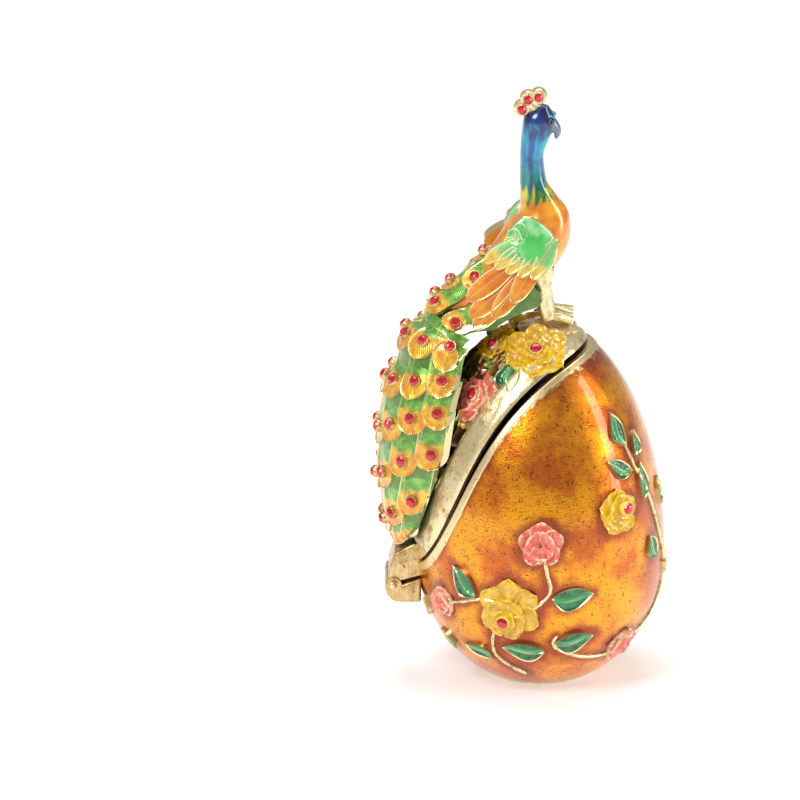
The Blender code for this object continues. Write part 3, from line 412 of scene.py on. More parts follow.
def finishPiece(name, bm, finishes, owner, sharp=40.0):
    body, slot, node = owner
    bmesh.ops.remove_doubles(bm, verts=bm.verts, dist=0.0005)
    bmesh.ops.recalc_face_normals(bm, faces=bm.faces)
    bmesh.ops.scale(bm, vec=(mm, mm, mm), verts=bm.verts)
    mesh = bpy.data.meshes.new(name)
    bm.to_mesh(mesh)
    bm.free()
    for finish in finishes:
        mesh.materials.append(finish)
    mesh.shade_smooth()
    mesh.set_sharp_from_angle(angle=radians(sharp))
    piece = bpy.data.objects.new(name, mesh)
    scene.collection.objects.link(piece)
    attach(piece, body)
    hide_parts(node)


def newForm():
    bm = bmesh.new()
    for name in ("rim", "middle", "along", "place", "band", "height", "halo"):
        bm.verts.layers.float.new(name)
    return bm


def spinRound(bm, line, edges, steps):
    bmesh.ops.spin(bm, geom=line + edges, cent=(0, 0, 0), axis=(0, 0, 1), angle=2 * pi,
                   steps=steps, use_merge=True, use_duplicate=False)


def spunWall(bm, profile, steps):
    # profile of (lift, share) points, closed into a ring, spun round the egg's axis far from it
    reach = 10.0
    line = [bm.verts.new((reach + lift, 0, share)) for lift, share in profile]
    spinRound(bm, line, [bm.edges.new(pair) for pair in zip(line, line[1:] + line[:1])], steps)
    layer = bm.verts.layers.float["band"]
    for vert in bm.verts:
        vert[layer] = vert.co.z
        around = round(azimuthOf(vert.co) % 360, 3)
        yield vert, around, hypot(vert.co.x, vert.co.y) - reach, vert.co.z


def treeOf(points):
    tree = kdtree.KDTree(len(points))
    for i, point in enumerate(points):
        tree.insert(point, i)
    tree.balance()
    return tree


def openEdges(verts):  # boundary edges in the order of their points
    return list(dict.fromkeys(edge for vert in verts for edge in vert.link_edges if edge.is_boundary))


def closeBelow(bm, verts, sink):  # walls down from a sheet's edge, and a floor
    made = bmesh.ops.extrude_edge_only(bm, edges=openEdges(verts))["geom"]
    low = [part for part in made if isinstance(part, bmesh.types.BMVert)]
    for vert in low:
        vert.co.z = -sink
    bmesh.ops.edgeloop_fill(bm, edges=openEdges(low))
    return low


def addSheet(bm, rows, columns, shape, seat, sink, drape=None):
    # grid bent by shape(u, v), which gives x, y, z, distance from the rim and from the middle
    rimLayer = bm.verts.layers.float["rim"]
    middleLayer = bm.verts.layers.float["middle"]
    alongLayer = bm.verts.layers.float["along"]
    verts = bmesh.ops.create_grid(bm, x_segments=rows, y_segments=columns, size=1)["verts"]
    for vert in verts:
        u, v = (vert.co.x + 1) / 2, vert.co.y
        x, y, z, rim, middle = shape(u, v)
        vert.co = (x, y, z)
        vert[rimLayer], vert[middleLayer], vert[alongLayer] = rim, middle, u
    bmesh.ops.remove_doubles(bm, verts=verts, dist=0.01)
    verts = [vert for vert in verts if vert.is_valid]
    verts += closeBelow(bm, verts, sink)
    if drape is None:
        bmesh.ops.transform(bm, matrix=seat, verts=verts)
    else:
        for vert in verts:
            vert.co = drape(seat @ Vector((vert.co.x, vert.co.y, 0)), vert.co.z)
    return verts


def onEgg(flat, lift):  # a point of the tangent plane laid on the egg
    height = min(max(flat.z, 0.4), eggHeight - 0.4)
    point = eggPoint(azimuthOf(flat), height, lift)
    point.z = max(point.z, 0.08)
    return point


def leafShape(length, width, rise, bend):
    def shape(u, v):
        half = width / 2 * sin(pi * u ** 0.8) + 0.01 * (1 - abs(2 * u - 1))
        rim = (1 - abs(v)) * half
        middle = abs(v) * half
        lip = 0.22 * exp(-(rim / 0.22) ** 2) * min(1.0, half)
        rib = 0.30 * exp(-(middle / 0.16) ** 2) * (1 - u)
        vein = 0.08 * sin((u * length - abs(v) * half) * 5.0) * min(1.0, rim)
        z = rise * (0.95 - 0.45 * sin(pi * abs(v)) * min(1.0, half)) + lip + rib + vein
        return length * u, half * v + bend * sin(pi * u) + 0.5 * bend * sin(2 * pi * u), z, rim, middle
    return shape


def addLeaf(bm, seat, length, width, rise, bend, drape=None):
    return addSheet(bm, 22, 14, leafShape(length, width, rise, bend), seat, 0.8, drape)


petal = {"rise": 0.25, "twist": 0.25, "cup": 0.34, "hollow": 0.42, "fall": 0.50, "wave": 0.05, "sink": 1.0}


def petalShape(length, width, base):
    def shape(u, v):
        half = width / 2 * max(sin(pi * min(u ** 1.15, 1.0)), 0.0) ** 0.45 + 0.005
        rim = min((1 - abs(v)) * half, (1 - u) * length * 0.9)
        cup = petal["cup"] * exp(-((rim - 0.42) / 0.50) ** 2)
        hollow = petal["hollow"] * (1 - v * v) * sin(pi * u)
        z = base + petal["rise"] * u ** 0.8 + cup + petal["twist"] * v * u - hollow
        fall = petal["fall"] * exp(-(rim / 0.20) ** 2)
        return length * u * (1 + petal["wave"] * cos(3 * pi * v)), half * v, z - fall, rim, abs(v) * half
    return shape


def addFlower(bm, seat, radius, layers, drape=None):
    # each layer: share of the radius, height, turn, petals, and how far up and across it moves
    made = []
    for share, raised, turn, petals, up, across in layers:
        reach = radius * share
        moved = seat @ Matrix.Translation((up, across, 0))
        for k in range(petals):
            turned = Matrix.Rotation(2 * pi * (k + turn) / petals, 4, "Z")
            start = Matrix.Translation((reach * 0.12, 0, 0))
            width = 2 * pi * reach * 0.66 / petals * 1.30
            shape = petalShape(reach * 0.88, width, 0.35 + raised)
            made += addSheet(bm, 12, 12, shape, moved @ turned @ start, petal["sink"], drape)
    return made


def bloomLayers(radius, up=0.0, across=0.0):
    if radius > 6:
        return ((1.0, 0.0, 0.0, 6, 0, 0), (0.64, 0.5, 0.5, 4, up * 0.7, across * 0.7),
                (0.36, 0.8, 0.2, 3, up, across))
    return ((1.0, 0.0, 0.0, 5, 0, 0), (0.62, 0.45, 0.5, 3, up * 0.6, across * 0.6))


def addCurve(bm, points, radii, sides):
    # round bar through points, each with its own radius
    curve = bpy.data.curves.new("bar", "CURVE")
    curve.dimensions = "3D"
    curve.bevel_depth = 1.0
    curve.bevel_resolution = sides
    curve.use_fill_caps = True
    line = curve.splines.new("POLY")
    line.points.add(len(points) - 1)
    for place, point, radius in zip(line.points, points, radii):
        place.co = (*point, 1)
        place.radius = radius
    holder = bpy.data.objects.new("bar", curve)
    scene.collection.objects.link(holder)
    mesh = bpy.data.meshes.new_from_object(holder.evaluated_get(bpy.context.evaluated_depsgraph_get()))
    before = set(bm.verts)
    bm.from_mesh(mesh)
    bpy.data.objects.remove(holder)
    bpy.data.curves.remove(curve)
    bpy.data.meshes.remove(mesh)
    made = [vert for vert in bm.verts if vert not in before]
    bmesh.ops.remove_doubles(bm, verts=made, dist=0.001)
    return [vert for vert in made if vert.is_valid]


def knobbly(count, radius, amount, seed):
    return [radius * (1 + amount * noise.noise(Vector((i * 0.35, seed, 0)))) for i in range(count)]


def addVine(bm, places, radius, lift, seed, amount):
    spots = smoothPath(places, (len(places) - 1) * 14)
    points = [eggPoint(azimuth, share * eggHeight, lift) for azimuth, share in spots]
    radii = knobbly(len(points), radius, amount, seed)
    radii[0], radii[-1] = radius * 0.6, radius * 0.6
    return addCurve(bm, points, radii, 2)


def addTurned(bm, profile, steps, seat):
    # solid of revolution about the seat's Z; the profile starts and ends on the axis or is a ring
    before = set(bm.verts)
    line = [bm.verts.new((radius, 0, height)) for radius, height in profile]
    edges = [bm.edges.new(pair) for pair in zip(line, line[1:])]
    if profile[0][0] > 0:
        edges.append(bm.edges.new((line[-1], line[0])))
    spinRound(bm, line, edges, steps)
    made = [vert for vert in bm.verts if vert not in before]
    bmesh.ops.remove_doubles(bm, verts=made, dist=0.001)
    made = [vert for vert in made if vert.is_valid]
    bmesh.ops.transform(bm, matrix=seat, verts=made)
    return made


def addBezel(bm, seat, radius, low):
    ring = [(radius - 0.10, low), (radius + 0.26, low), (radius + 0.25, 0.40), (radius + 0.14, 0.58),
            (radius + 0.02, 0.56), (radius - 0.07, 0.40)]
    addTurned(bm, ring, 20, seat)


def stonePiece(node, seat, radius, body):
    # round cut stone: a flat table, a sloped crown, a narrow girdle and a shallow back
    bm = newForm()
    cut = [(0, 0.06), (radius * 0.45, 0.08), (radius, 0.46), (radius, 0.58), (radius * 0.80, 0.92),
           (radius * 0.55, 1.16), (0, 1.22)]
    addTurned(bm, cut, 10, seat)
    finishPiece("stone_" + node[8:], bm, [crystalRed], (body, "red_crystal", node), 8.0)


# Relief on the base: azimuth, share of the height, radius
baseFlowers = {
    "yellow_double_flower": (75, 0.278, 7.2), "yellow_side_flower": (130, 0.533, 5.1),
    "coral_rose": (90, 0.467, 5.0), "coral_bud": (37, 0.262, 3.6), "coral_low_flower": (141, 0.135, 4.4),
    "yellow_back_flower": (255, 0.34, 6.0), "coral_back_flower": (292, 0.52, 4.6),
    "coral_back_bud": (214, 0.30, 3.6)}
# How far above and beside a flower's middle its stone sits
baseStones = {"yellow_double_flower": (-2.6, 1.2), "yellow_side_flower": (0.7, -1.4),
              "yellow_back_flower": (0.0, 0.0)}
# Leaves on the base: azimuth and share of the leaf's base, turn, length, width
baseLeaves = [
    (142, 0.70, -12, 8.0, 4.2), (148, 0.665, 22, 5.8, 3.2), (142, 0.632, -62, 7.2, 4.0),
    (148, 0.545, 8, 8.4, 3.8), (156, 0.375, -28, 5.8, 4.6), (167, 0.50, 8, 6.4, 3.4),
    (170, 0.30, 30, 5.6, 3.4), (97, 0.178, 84, 9.0, 5.6), (92, 0.156, -92, 9.6, 5.4),
    (95, 0.316, 88, 9.6, 5.4), (59, 0.305, -46, 8.8, 4.8), (12, 0.19, 30, 5.4, 3.4),
    (36, 0.120, -50, 6.0, 3.6), (62, 0.115, -70, 7.4, 4.0), (262, 0.44, 25, 7.4, 4.0),
    (284, 0.42, -35, 7.0, 3.8), (238, 0.26, -80, 7.2, 3.8), (272, 0.20, 70, 7.4, 4.0),
    (226, 0.42, -20, 6.4, 3.4), (300, 0.63, 30, 6.0, 3.2)]
# Vines on the base as azimuth and share of the height
baseVines = {
    "right_vine": [(142, 0.71), (146, 0.64), (150, 0.60), (156, 0.52), (160, 0.45), (164, 0.40),
                   (170, 0.30), (164, 0.19), (142, 0.14)],
    "rose_stem": [(91, 0.44), (93, 0.38), (94, 0.33), (86, 0.28)],
    "low_vine": [(98, 0.20), (97, 0.165), (110, 0.125), (128, 0.11), (141, 0.13)],
    "left_stem": [(38, 0.26), (50, 0.28), (62, 0.30), (72, 0.29)],
    "foot_stem": [(70, 0.26), (64, 0.16), (66, 0.11), (80, 0.06)],
    "back_vine": [(214, 0.30), (236, 0.27), (255, 0.33), (272, 0.40), (290, 0.50), (300, 0.62)],
    "back_low_stem": [(255, 0.34), (264, 0.24), (272, 0.19), (276, 0.11)]}
# The flowers' stones: how far up they sit, their radius, and their setting's radius and foot
flowerStone = {"rise": 1.5, "radius": 1.28, "setting": 1.3, "foot": -1.4}
baseLeaf = {"rise": 0.6, "bend": 0.6}
baseVine = {"radius": 0.40, "lift": 0.15, "seed": 3.1, "knobs": 0.45}
reliefSpots = []  # points of the relief, round which the enamel is darker: partly pooled enamel, partly painted shade


def remember(verts):
    reliefSpots.extend(vert.co.copy() for vert in verts)


def leafSeat(azimuth, share, turn, length, lift):  # a leaf settles with its middle on the egg
    start = eggFrame(azimuth, share, turn, lift)
    middle = start @ Vector((length / 2, 0, 0))
    height = min(max(middle.z, 0.5), eggHeight - 0.5)
    around = azimuthOf(middle)
    along = start.to_3x3() @ Vector((1, 0, 0))
    seat = frameFrom(eggPoint(around, height, lift), eggNormal(around, height), along)
    return seat @ Matrix.Translation((-length / 2, 0, 0))


def setFlowerStone(bezels, seat, name, body):
    addBezel(bezels, seat, flowerStone["setting"], flowerStone["foot"])
    stonePiece("crystal_" + name, seat, flowerStone["radius"], body)


def makeBaseRelief():
    leaves = newForm()
    for i, (azimuth, share, turn, length, width) in enumerate(baseLeaves):
        seat = leafSeat(azimuth, share, turn, length, 0)
        bend = baseLeaf["bend"] * (-1) ** i
        remember(addLeaf(leaves, seat, length, width, baseLeaf["rise"], bend, onEgg))
    finishPiece("base_leaves", leaves, [leafGreen], onBase)
    vines = newForm()
    for k, places in enumerate(baseVines.values()):
        seed = k * baseVine["seed"]
        remember(addVine(vines, places, baseVine["radius"], baseVine["lift"], seed, baseVine["knobs"]))
    finishPiece("base_vines", vines, [gold], onBase)
    for colour, finish in (("yellow", yellowPetal), ("coral", coralPetal)):
        blooms = newForm()
        for name, (azimuth, share, radius) in baseFlowers.items():
            if name.startswith(colour):
                layers = bloomLayers(radius, *baseStones.get(name, (-0.4, 0.3)))
                remember(addFlower(blooms, eggFrame(azimuth, share, 0), radius, layers, onEgg))
        finishPiece("base_%s_flowers" % colour, blooms, [finish], onBase)
    bezels = newForm()
    for name, (up, across) in baseStones.items():
        azimuth, share, _ = baseFlowers[name]
        seat = eggFrame(azimuth, share, 0) @ Matrix.Translation((up, across, flowerStone["rise"]))
        setFlowerStone(bezels, seat, name, "root")
    finishPiece("base_settings", bezels, [yellowPetal], onBase)
    print("base relief ready")


# Rows and columns of the wall, how proud its bare band stands and how far the darker enamel of pooling and
# painted shade reaches
shell = {"columns": 220, "rows": 72, "bandRows": 8, "bandShare": 0.7, "swell": 3.2, "halo": 6.0,
         "bandHalo": 1.2, "bandReach": 30, "haloSlope": 0.8}


def makeShell():
    bm = newForm()
    rows, bandRows = shell["rows"], shell["bandRows"]
    wall, proud = egg["wall"], egg["bandProud"] * shell["bandShare"]
    outer = [(0.0, i / rows) for i in range(rows + 1)]
    strip = [(proud * min(1.0, shell["swell"] * sin(pi * i / bandRows) if i < bandRows else 0.5),
              1 + i / bandRows) for i in range(1, bandRows + 1)]
    inner = [(-wall, 2.0 - 2.0 * i / rows) for i in range(0, rows, 2)] + [(-wall, 0.02)]
    middle = [(-wall * 0.5, 2.0)]
    inside = bm.verts.layers.float["middle"]
    for vert, azimuth, lift, share in spunWall(bm, outer + strip + middle + inner, shell["columns"]):
        if share <= 1:
            height = seamHeight(azimuth, -egg["stripWidth"], 0.0) * share
        else:
            height = seamHeight(azimuth, round(-egg["stripWidth"] * (2 - share), 4), 0.0)
        if lift < -0.5 * wall:
            height = max(height, wall)
        if lift < 0:  # the inner wall is drawn in level, so that the rim stays on the parting line
            vert.co = ringPoint(azimuth, max(eggRadius(height) + lift, 0.5), height)
        else:
            vert.co = eggPoint(azimuth, height, lift)
        vert[inside] = 1.0 if lift < -0.25 * wall else 0.0
    return bm


def markInside(bm):  # the second finish goes where all of a face's points are marked
    inside = bm.verts.layers.float["middle"]
    for face in bm.faces:
        if all(vert[inside] > 0.5 for vert in face.verts):
            face.material_index = 1


def makeBaseShell():
    bm = makeShell()
    layers = bm.verts.layers.float
    tree = treeOf(reliefSpots)
    for vert in bm.verts:
        vert[layers["height"]] = vert.co.z
        # distance to the relief and to the rim, which sets the darker enamel: pooled enamel and painted
        # shade
        halo = min(shell["halo"], tree.find(vert.co)[2])
        if vert[layers["band"]] <= 1:
            edgeGap = (1 - vert[layers["band"]]) * shell["bandReach"]
            halo = min(halo, shell["bandHalo"] + edgeGap * shell["haloSlope"])
        vert[layers["halo"]] = halo
    markInside(bm)
    finishPiece("egg_shell", bm, [amber, maroon], onBase, 50)
    print("base shell ready")


def byHinge(x, z):
    return hingePoint + Vector((x, 0, z))


def barrel(bm, middle, width):
    made = bmesh.ops.create_cone(bm, cap_ends=True, segments=32, radius1=hinge["knuckle"],
                                 radius2=hinge["knuckle"], depth=width)["verts"]
    place = Matrix.Translation(hingePoint + Vector((0, middle, 0))) @ Matrix.Rotation(pi / 2, 4, "X")
    bmesh.ops.transform(bm, matrix=place, verts=made)


def addPrism(bm, outline, width, bevel):
    # outline seen from the front, given a width along the hinge axis, with soft corners
    low = [bm.verts.new(point + Vector((0, -width / 2, 0))) for point in outline]
    face = bm.faces.new(low)
    made = bmesh.ops.extrude_face_region(bm, geom=[face], use_keep_orig=True)["geom"]
    high = [part for part in made if isinstance(part, bmesh.types.BMVert)]
    bmesh.ops.translate(bm, vec=(0, width, 0), verts=high)
    own = set(low + high)
    edges = [edge for edge in bm.edges if edge.verts[0] in own and edge.verts[1] in own]
    faces = dict.fromkeys(face for vert in low + high for face in vert.link_faces)
    bmesh.ops.recalc_face_normals(bm, faces=list(faces))
    bmesh.ops.bevel(bm, geom=edges, offset=bevel, affect="EDGES", segments=3, profile=0.5, material=-1)


def makeHinge():
    side = hinge["lidKnuckle"] / 2 + egg["touchGap"] + hinge["ear"] / 2
    width = hinge["lidKnuckle"] + 2 * egg["touchGap"] + 2 * hinge["ear"]
    base = newForm()
    for middle in (-side, side):
        barrel(base, middle, hinge["ear"])
    inside = -egg["radius"] + egg["wall"] * 0.6
    knuckle, drop = hinge["knuckle"], hinge["baseDrop"]
    outline = [byHinge(-knuckle * 0.9, -0.3), byHinge(-knuckle * 0.75, -drop * 0.55),
               byHinge(-knuckle * 0.1, -drop * 0.92), byHinge(knuckle, -drop),
               Vector((inside, 0, hinge["height"] - drop)), Vector((inside, 0, hinge["height"] + 1.6)),
               byHinge(knuckle, 0.1), byHinge(0, -0.3)]
    addPrism(base, outline, width - 0.4, 0.6)
    finishPiece("hinge_base_block", base, [darkGold], onBase)
    lid = newForm()
    barrel(lid, 0, hinge["lidKnuckle"])
    inside = -egg["radius"] + egg["wall"] * 0.9
    rise = hinge["lidBlockRise"]
    outline = [byHinge(knuckle * 0.7, 0.9), Vector((inside, 0, hinge["height"] + 2.4)),
               Vector((inside, 0, hinge["height"] + rise * 1.35)),
               Vector((-egg["radius"] - 0.6, 0, hinge["height"] + rise * 1.3)),
               byHinge(knuckle * 0.2, rise), byHinge(-knuckle * 0.5, rise * 0.5),
               byHinge(-knuckle * 0.6, 0.7)]
    addPrism(lid, outline, hinge["lidBlockWidth"], 0.45)
    finishPiece("hinge_lid_block", lid, [darkGold], onLid)
    pin = newForm()
    head, reach = hinge["pinRadius"], width / 2 + 0.3
    dome = [(0, -reach), (head * 0.7, -reach + 0.08), (head, -reach + 0.3), (head, reach - 0.3),
            (head * 0.7, reach - 0.08), (0, reach)]
    addTurned(pin, dome, 28, frameFrom(hingePoint, Vector((0, 1, 0)), Vector((0, 0, 1))))
    finishPiece("hinge_pin_rod", pin, [gold], onPin)
    print("hinge ready")


lidRim = {"columns": 260, "rows": 12, "low": 0.35, "swell": 2.6, "rough": 0.16, "grain": 0.55}


def makeLidRim():
    bm = newForm()
    proud, wall, rows = egg["bandProud"], egg["wall"], lidRim["rows"]
    outer = []
    for i in range(rows + 1):
        swell = min(1.0, lidRim["swell"] * sin(pi * i / rows))
        outer.append((proud * (lidRim["low"] + (1 - lidRim["low"]) * swell), i / rows))
    inner = [(-wall, share) for share in (1.0, 0.66, 0.33, 0.0)]
    profile = outer + [(-wall * 0.5, 1.0)] + inner + [(-wall * 0.5, 0.0)]
    inside = bm.verts.layers.float["middle"]
    for vert, azimuth, lift, share in spunWall(bm, profile, lidRim["columns"]):
        vert[inside] = 1.0 if lift < -0.25 * wall or (share > 0.99 and lift < 0.5 * proud) else 0.0
        shift = egg["touchGap"] + egg["bandWidth"] * share
        height = seamHeight(azimuth, round(shift, 4), egg["ajar"])
        if lift > 0:
            lift += lidRim["rough"] * noise.noise(eggPoint(azimuth, height, 0) * lidRim["grain"])
            vert.co = eggPoint(azimuth, height, lift)
        else:
            vert.co = ringPoint(azimuth, max(eggRadius(height) + lift, 0.4), height)
    markInside(bm)
    # the rim's inside faces take the gold with painted shade
    finishPiece("lid_rim", bm, [gold, paintedShadeGold], onLid, 50)


# Flowers on the lid: azimuth, share of the height, radius, growth and how far up they stand
lidFlowers = {"yellow_crown_flower": (84, 0.955, 6.4, 1.1, 0.5),
              "small_crown_flower": (24, 0.945, 4.4, 1.25, 0.1),
              "coral_lid_flower": (38, 0.832, 4.9, 1.25, 0.1)}
lidLeaves = [(66, 0.862, -8, 6.6, 4.4), (44, 0.895, -50, 5.0, 3.6), (30, 0.690, 6, 7.4, 3.8),
             (24, 0.560, -20, 6.0, 3.2)]
lidSpine = [(0, 0.34), (0, 0.45), (0, 0.60), (0, 0.72), (0, 0.82), (0, 0.90), (0, 0.96)]
# The lid's side stems: where they leave the spine, how much they climb and how far up they may end
lidRibs = {"shares": (0.43, 0.53, 0.63, 0.73, 0.82, 0.90), "climb": 0.035, "top": 0.945}
lidMoss = [(21, 0.885, 4.2, 1.8), (40, 0.925, 2.8, 1.3)]  # azimuth, share of the height, radius, depth
lidLeaf = {"longer": 1.2, "wider": 1.3, "rise": 1.5, "bend": 0.6}
lidSet = {"lift": -0.8, "stem": 1.15, "padDepth": 2.6, "padMiddle": 1.6, "padSwell": 0.16, "padGrain": 0.35}


def rimAzimuth(share):  # where the lid's rim crosses a height
    height = share * eggHeight
    found = 90.0
    for step in range(181):
        if seamHeight(float(step), egg["touchGap"] + egg["bandWidth"] / 2, egg["ajar"]) < height:
            found = float(step)
    return found


def makeLid():
    makeLidRim()
    stems = newForm()
    lift = -lidSet["stem"] * 0.8
    addVine(stems, lidSpine, lidSet["stem"], lift, 1.0, 0.35)
    for k, share in enumerate(lidRibs["shares"]):
        endShare = min(share + lidRibs["climb"], lidRibs["top"])
        end = rimAzimuth(endShare)
        for side in (1, -1):
            rib = [(side * end * t, share + (endShare - share) * t) for t in (0, 1 / 3, 2 / 3, 1)]
            addVine(stems, rib, lidSet["stem"] * 0.9, lift, k * 2.3 + side, 0.5)
    finishPiece("lid_branches", stems, [darkGold], onLid)
    leaves = newForm()
    for side in (1, -1):
        for i, (azimuth, share, turn, length, width) in enumerate(lidLeaves):
            seat = leafSeat(side * azimuth, share, side * turn, length, lidSet["lift"])
            addLeaf(leaves, seat, length * lidLeaf["longer"], width * lidLeaf["wider"], lidLeaf["rise"],
                    lidLeaf["bend"] * (-1) ** i)
    finishPiece("lid_leaves", leaves, [leafGreen], onLid)
    yellow, coral, moss, bezels = newForm(), newForm(), newForm(), newForm()
    for side, word in ((1, "front"), (-1, "back")):
        for azimuth, share, radius, depth in lidMoss:
            addLump(moss, eggFrame(side * azimuth, share, 0, lidSet["lift"]), radius, depth)
        for name, (azimuth, share, radius, growth, raised) in lidFlowers.items():
            seat = eggFrame(side * azimuth, share, 0, lidSet["lift"])
            bloom = coral if name.startswith("coral") else yellow
            grown = radius * growth
            addFlower(bloom, seat @ Matrix.Translation((0, 0, raised)), grown, bloomLayers(grown))
            stoneSeat = seat @ Matrix.Translation((0, 0, flowerStone["rise"]))
            setFlowerStone(bezels, stoneSeat, "%s_%s" % (name, word), "lid")
    finishPiece("lid_yellow_flowers", yellow, [yellowPetal], onLid)
    finishPiece("lid_coral_flowers", coral, [coralPetal], onLid)
    # the moss lumps take the gold with painted shade
    finishPiece("lid_moss", moss, [paintedShadeGold], onLid)
    finishPiece("lid_settings", bezels, [gold], onLid)
    pad = newForm()
    mound = [(0, -lidSet["padDepth"]), (5.6, -lidSet["padDepth"]), (6.4, -2.0), (6.6, -1.3), (6.0, -0.6),
             (4.8, -0.2), (3.4, 0.0), (0, 0.0)]
    for vert in addTurned(pad, mound, 48, Matrix.Translation((lidSet["padMiddle"], 0, eggHeight))):
        flat = Vector((vert.co.x * lidSet["padGrain"], vert.co.y * lidSet["padGrain"], 0))
        swell = lidSet["padSwell"] * noise.noise(flat)
        vert.co.x += (vert.co.x - lidSet["padMiddle"]) * swell
        vert.co.y += vert.co.y * swell
    finishPiece("lid_perch", pad, [gold], onLid)
    print("lid ready")


def addLump(bm, seat, radius, height):
    made = bmesh.ops.create_uvsphere(bm, u_segments=32, v_segments=18, radius=1)["verts"]
    for vert in made:
        push = 1 + 0.28 * noise.noise(vert.co * 3.1) + 0.12 * noise.noise(vert.co * 8.0)
        vert.co = Vector((vert.co.x * radius, vert.co.y * radius, vert.co.z * height)) * push
    bmesh.ops.transform(bm, matrix=seat, verts=made)


# The train: ridge share, ridge standoff, edge share, edge standoff, half width
trainStations = [
    (1.222, 9.6, 1.100, 4.6, 7.4), (1.172, 14.4, 1.045, 9.0, 7.8), (1.095, 21.0, 1.000, 13.6, 8.6),
    (1.028, 25.8, 0.981, 13.6, 9.8), (0.972, 21.8, 0.956, 11.0, 11.5), (0.893, 16.5, 0.890, 7.2, 12.6),
    (0.826, 15.5, 0.824, 5.0, 13.5), (0.731, 12.9, 0.711, 2.6, 14.0), (0.601, 10.4, 0.612, 1.6, 14.0),
    (0.485, 7.7, 0.510, 1.5, 12.4), (0.407, 5.8, 0.440, 1.5, 9.4), (0.372, 4.2, 0.392, 1.6, 4.6)]
# Feather rows: place along the train, angle of the last feather, angle between them, bend
trainRows = [(0.60, 0, 60, 0.0), (1.20, 31, 62, 0.0), (1.75, 0, 60, 0.0), (2.40, 66, 44, 0.1),
             (4.00, 77.5, 31, 0.2), (5.75, 78, 26, 0.6), (7.20, 80.5, 23, 0.9), (8.25, 81, 27, 0.9),
             (9.45, 70, 28, 0.9)]
feather = {"length": 12.0, "thickness": 1.1, "seatAlong": 0.68, "plumeLength": 16.5, "plumeWidth": 7.4,
           "plumeThickness": 0.8, "stone": 1.16, "settingFoot": -0.6, "sink": 0.5}
# Feathers near the bird are smaller up to that place, and short enough not to fold at the top
nearBird = {"place": 3, "size": 0.8, "seat": 0.72, "shortest": 2.2, "growth": 5.6, "firstWidth": 0.62}
# The last feathers carry no stone: place, angles, bend, share of length and width, reach beyond it
lastRow = {"place": 10.7, "angles": (-72, -48, -24, 0, 24, 48, 72), "bend": 0.5, "length": 0.7,
           "width": 0.62, "thickness": 0.7, "beyond": 1.5}
# The sheet under the feathers: how far in its two faces lie, and the places where that eases
mantle = {"rows": 88, "columns": 36, "inset": 1.8, "insideNear": 3.2, "insideFar": 1.6, "from": 2.0,
          "to": 3.4}
# How a feather is laid on the train, and the weights of its length and width in its barbs
drapeSet = {"steps": 24, "probe": 0.05, "squeeze": 1.6, "turn": 98.0, "start": -0.4, "end": 0.55}
barbs = {"along": 0.9, "across": 1.6}


def trainPoint(place, angle, inward=0.0):
    ridgeShare, ridgeOff, edgeShare, edgeOff, half = smoothBetween(trainStations, place)
    ridgeHeight, edgeHeight = ridgeShare * eggHeight, edgeShare * eggHeight
    reach = eggRadius(edgeHeight) + edgeOff
    ridge = Vector((-eggRadius(ridgeHeight) - ridgeOff, 0, ridgeHeight))
    centre = Vector((-sqrt(max(reach * reach - half * half, 0.01)), 0, edgeHeight))
    depth = ridge - centre
    shrink = 1 - inward / depth.length
    narrow = 1 - inward / half
    turn = radians(angle)
    return centre + depth * cos(turn) * shrink + Vector((0, -half * narrow * sin(turn), 0))


def trainFrame(place, angle):  # Z outwards, X down towards the tip
    last = len(trainStations) - 1
    down = trainPoint(min(place + 0.05, last), angle) - trainPoint(place - 0.05, angle)
    across = trainPoint(place, angle + 2) - trainPoint(place, angle - 2)
    normal = across.cross(down)
    if normal.x > 0:
        normal.negate()
    return frameFrom(trainPoint(place, angle), normal, down)


def featherShape(length, width, thickness, curl):
    def shape(u, v):
        spread = min(1.0, 0.62 + 0.80 * u)
        tip = sqrt(max(0.0, 1 - (max(0.0, u - 0.52) / 0.48) ** 2.3))
        half = width / 2 * spread * tip + 0.004
        y = half * v
        rim = min((1 - abs(v)) * half, (1 - u) * length)
        lip = 0.20 * exp(-((rim - 0.12) / 0.18) ** 2)
        vane = 0.05 * sin(abs(y) * 9.0 + u * length * 3.0) * min(1.0, rim)
        z = thickness * (0.15 + 0.85 * u) + lip - 0.16 * min(1.0, rim) - y * y / (2 * curl) + vane
        return length * u, y, z, rim, abs(y)
    return shape


def plumeShape(length, width, thickness):  # round-tipped feather that follows the train
    def shape(u, v):
        beyond = max(0.0, length * u - (length - width * 0.55)) / (width * 0.55)
        half = width / 2 * sqrt(max(0.0, 1 - min(1.0, beyond) ** 2.2)) + 0.004
        y = half * v
        rim = min((1 - abs(v)) * half, (1 - u) * length)
        lip = 0.22 * exp(-((rim - 0.14) / 0.20) ** 2)
        z = thickness * (-0.2 + 1.2 * u) + lip - 0.22 * min(1.0, rim)
        return length * u, y, z - 0.10 * (y / width * 2) ** 2, rim, abs(y)
    return shape


def trainFeathers():  # each feather's place, angle, stone seat and size
    for place, reach, spacing, bend in trainRows:
        near = place < nearBird["place"]
        length = feather["length"] * (nearBird["seat"] if near else 1.0)
        rise = feather["thickness"] * (0.15 + 0.85 * feather["seatAlong"])
        tilt = Matrix.Rotation(-0.85 * feather["thickness"] / length, 4, "Y")
        for i in range(1 + round(2 * reach / spacing)):
            angle = i * spacing - reach
            here = place - bend * sin(radians(angle)) ** 2
            seat = trainFrame(here, angle) @ Matrix.Translation((0, 0, rise)) @ tilt
            yield here, angle, seat, nearBird["size"] if near else 1.0


def trainSpeed(place, angle):  # millimetres down the train for one step of the place
    probe = drapeSet["probe"]
    return (trainPoint(place + probe, angle) - trainPoint(place - probe, angle)).length / (2 * probe)


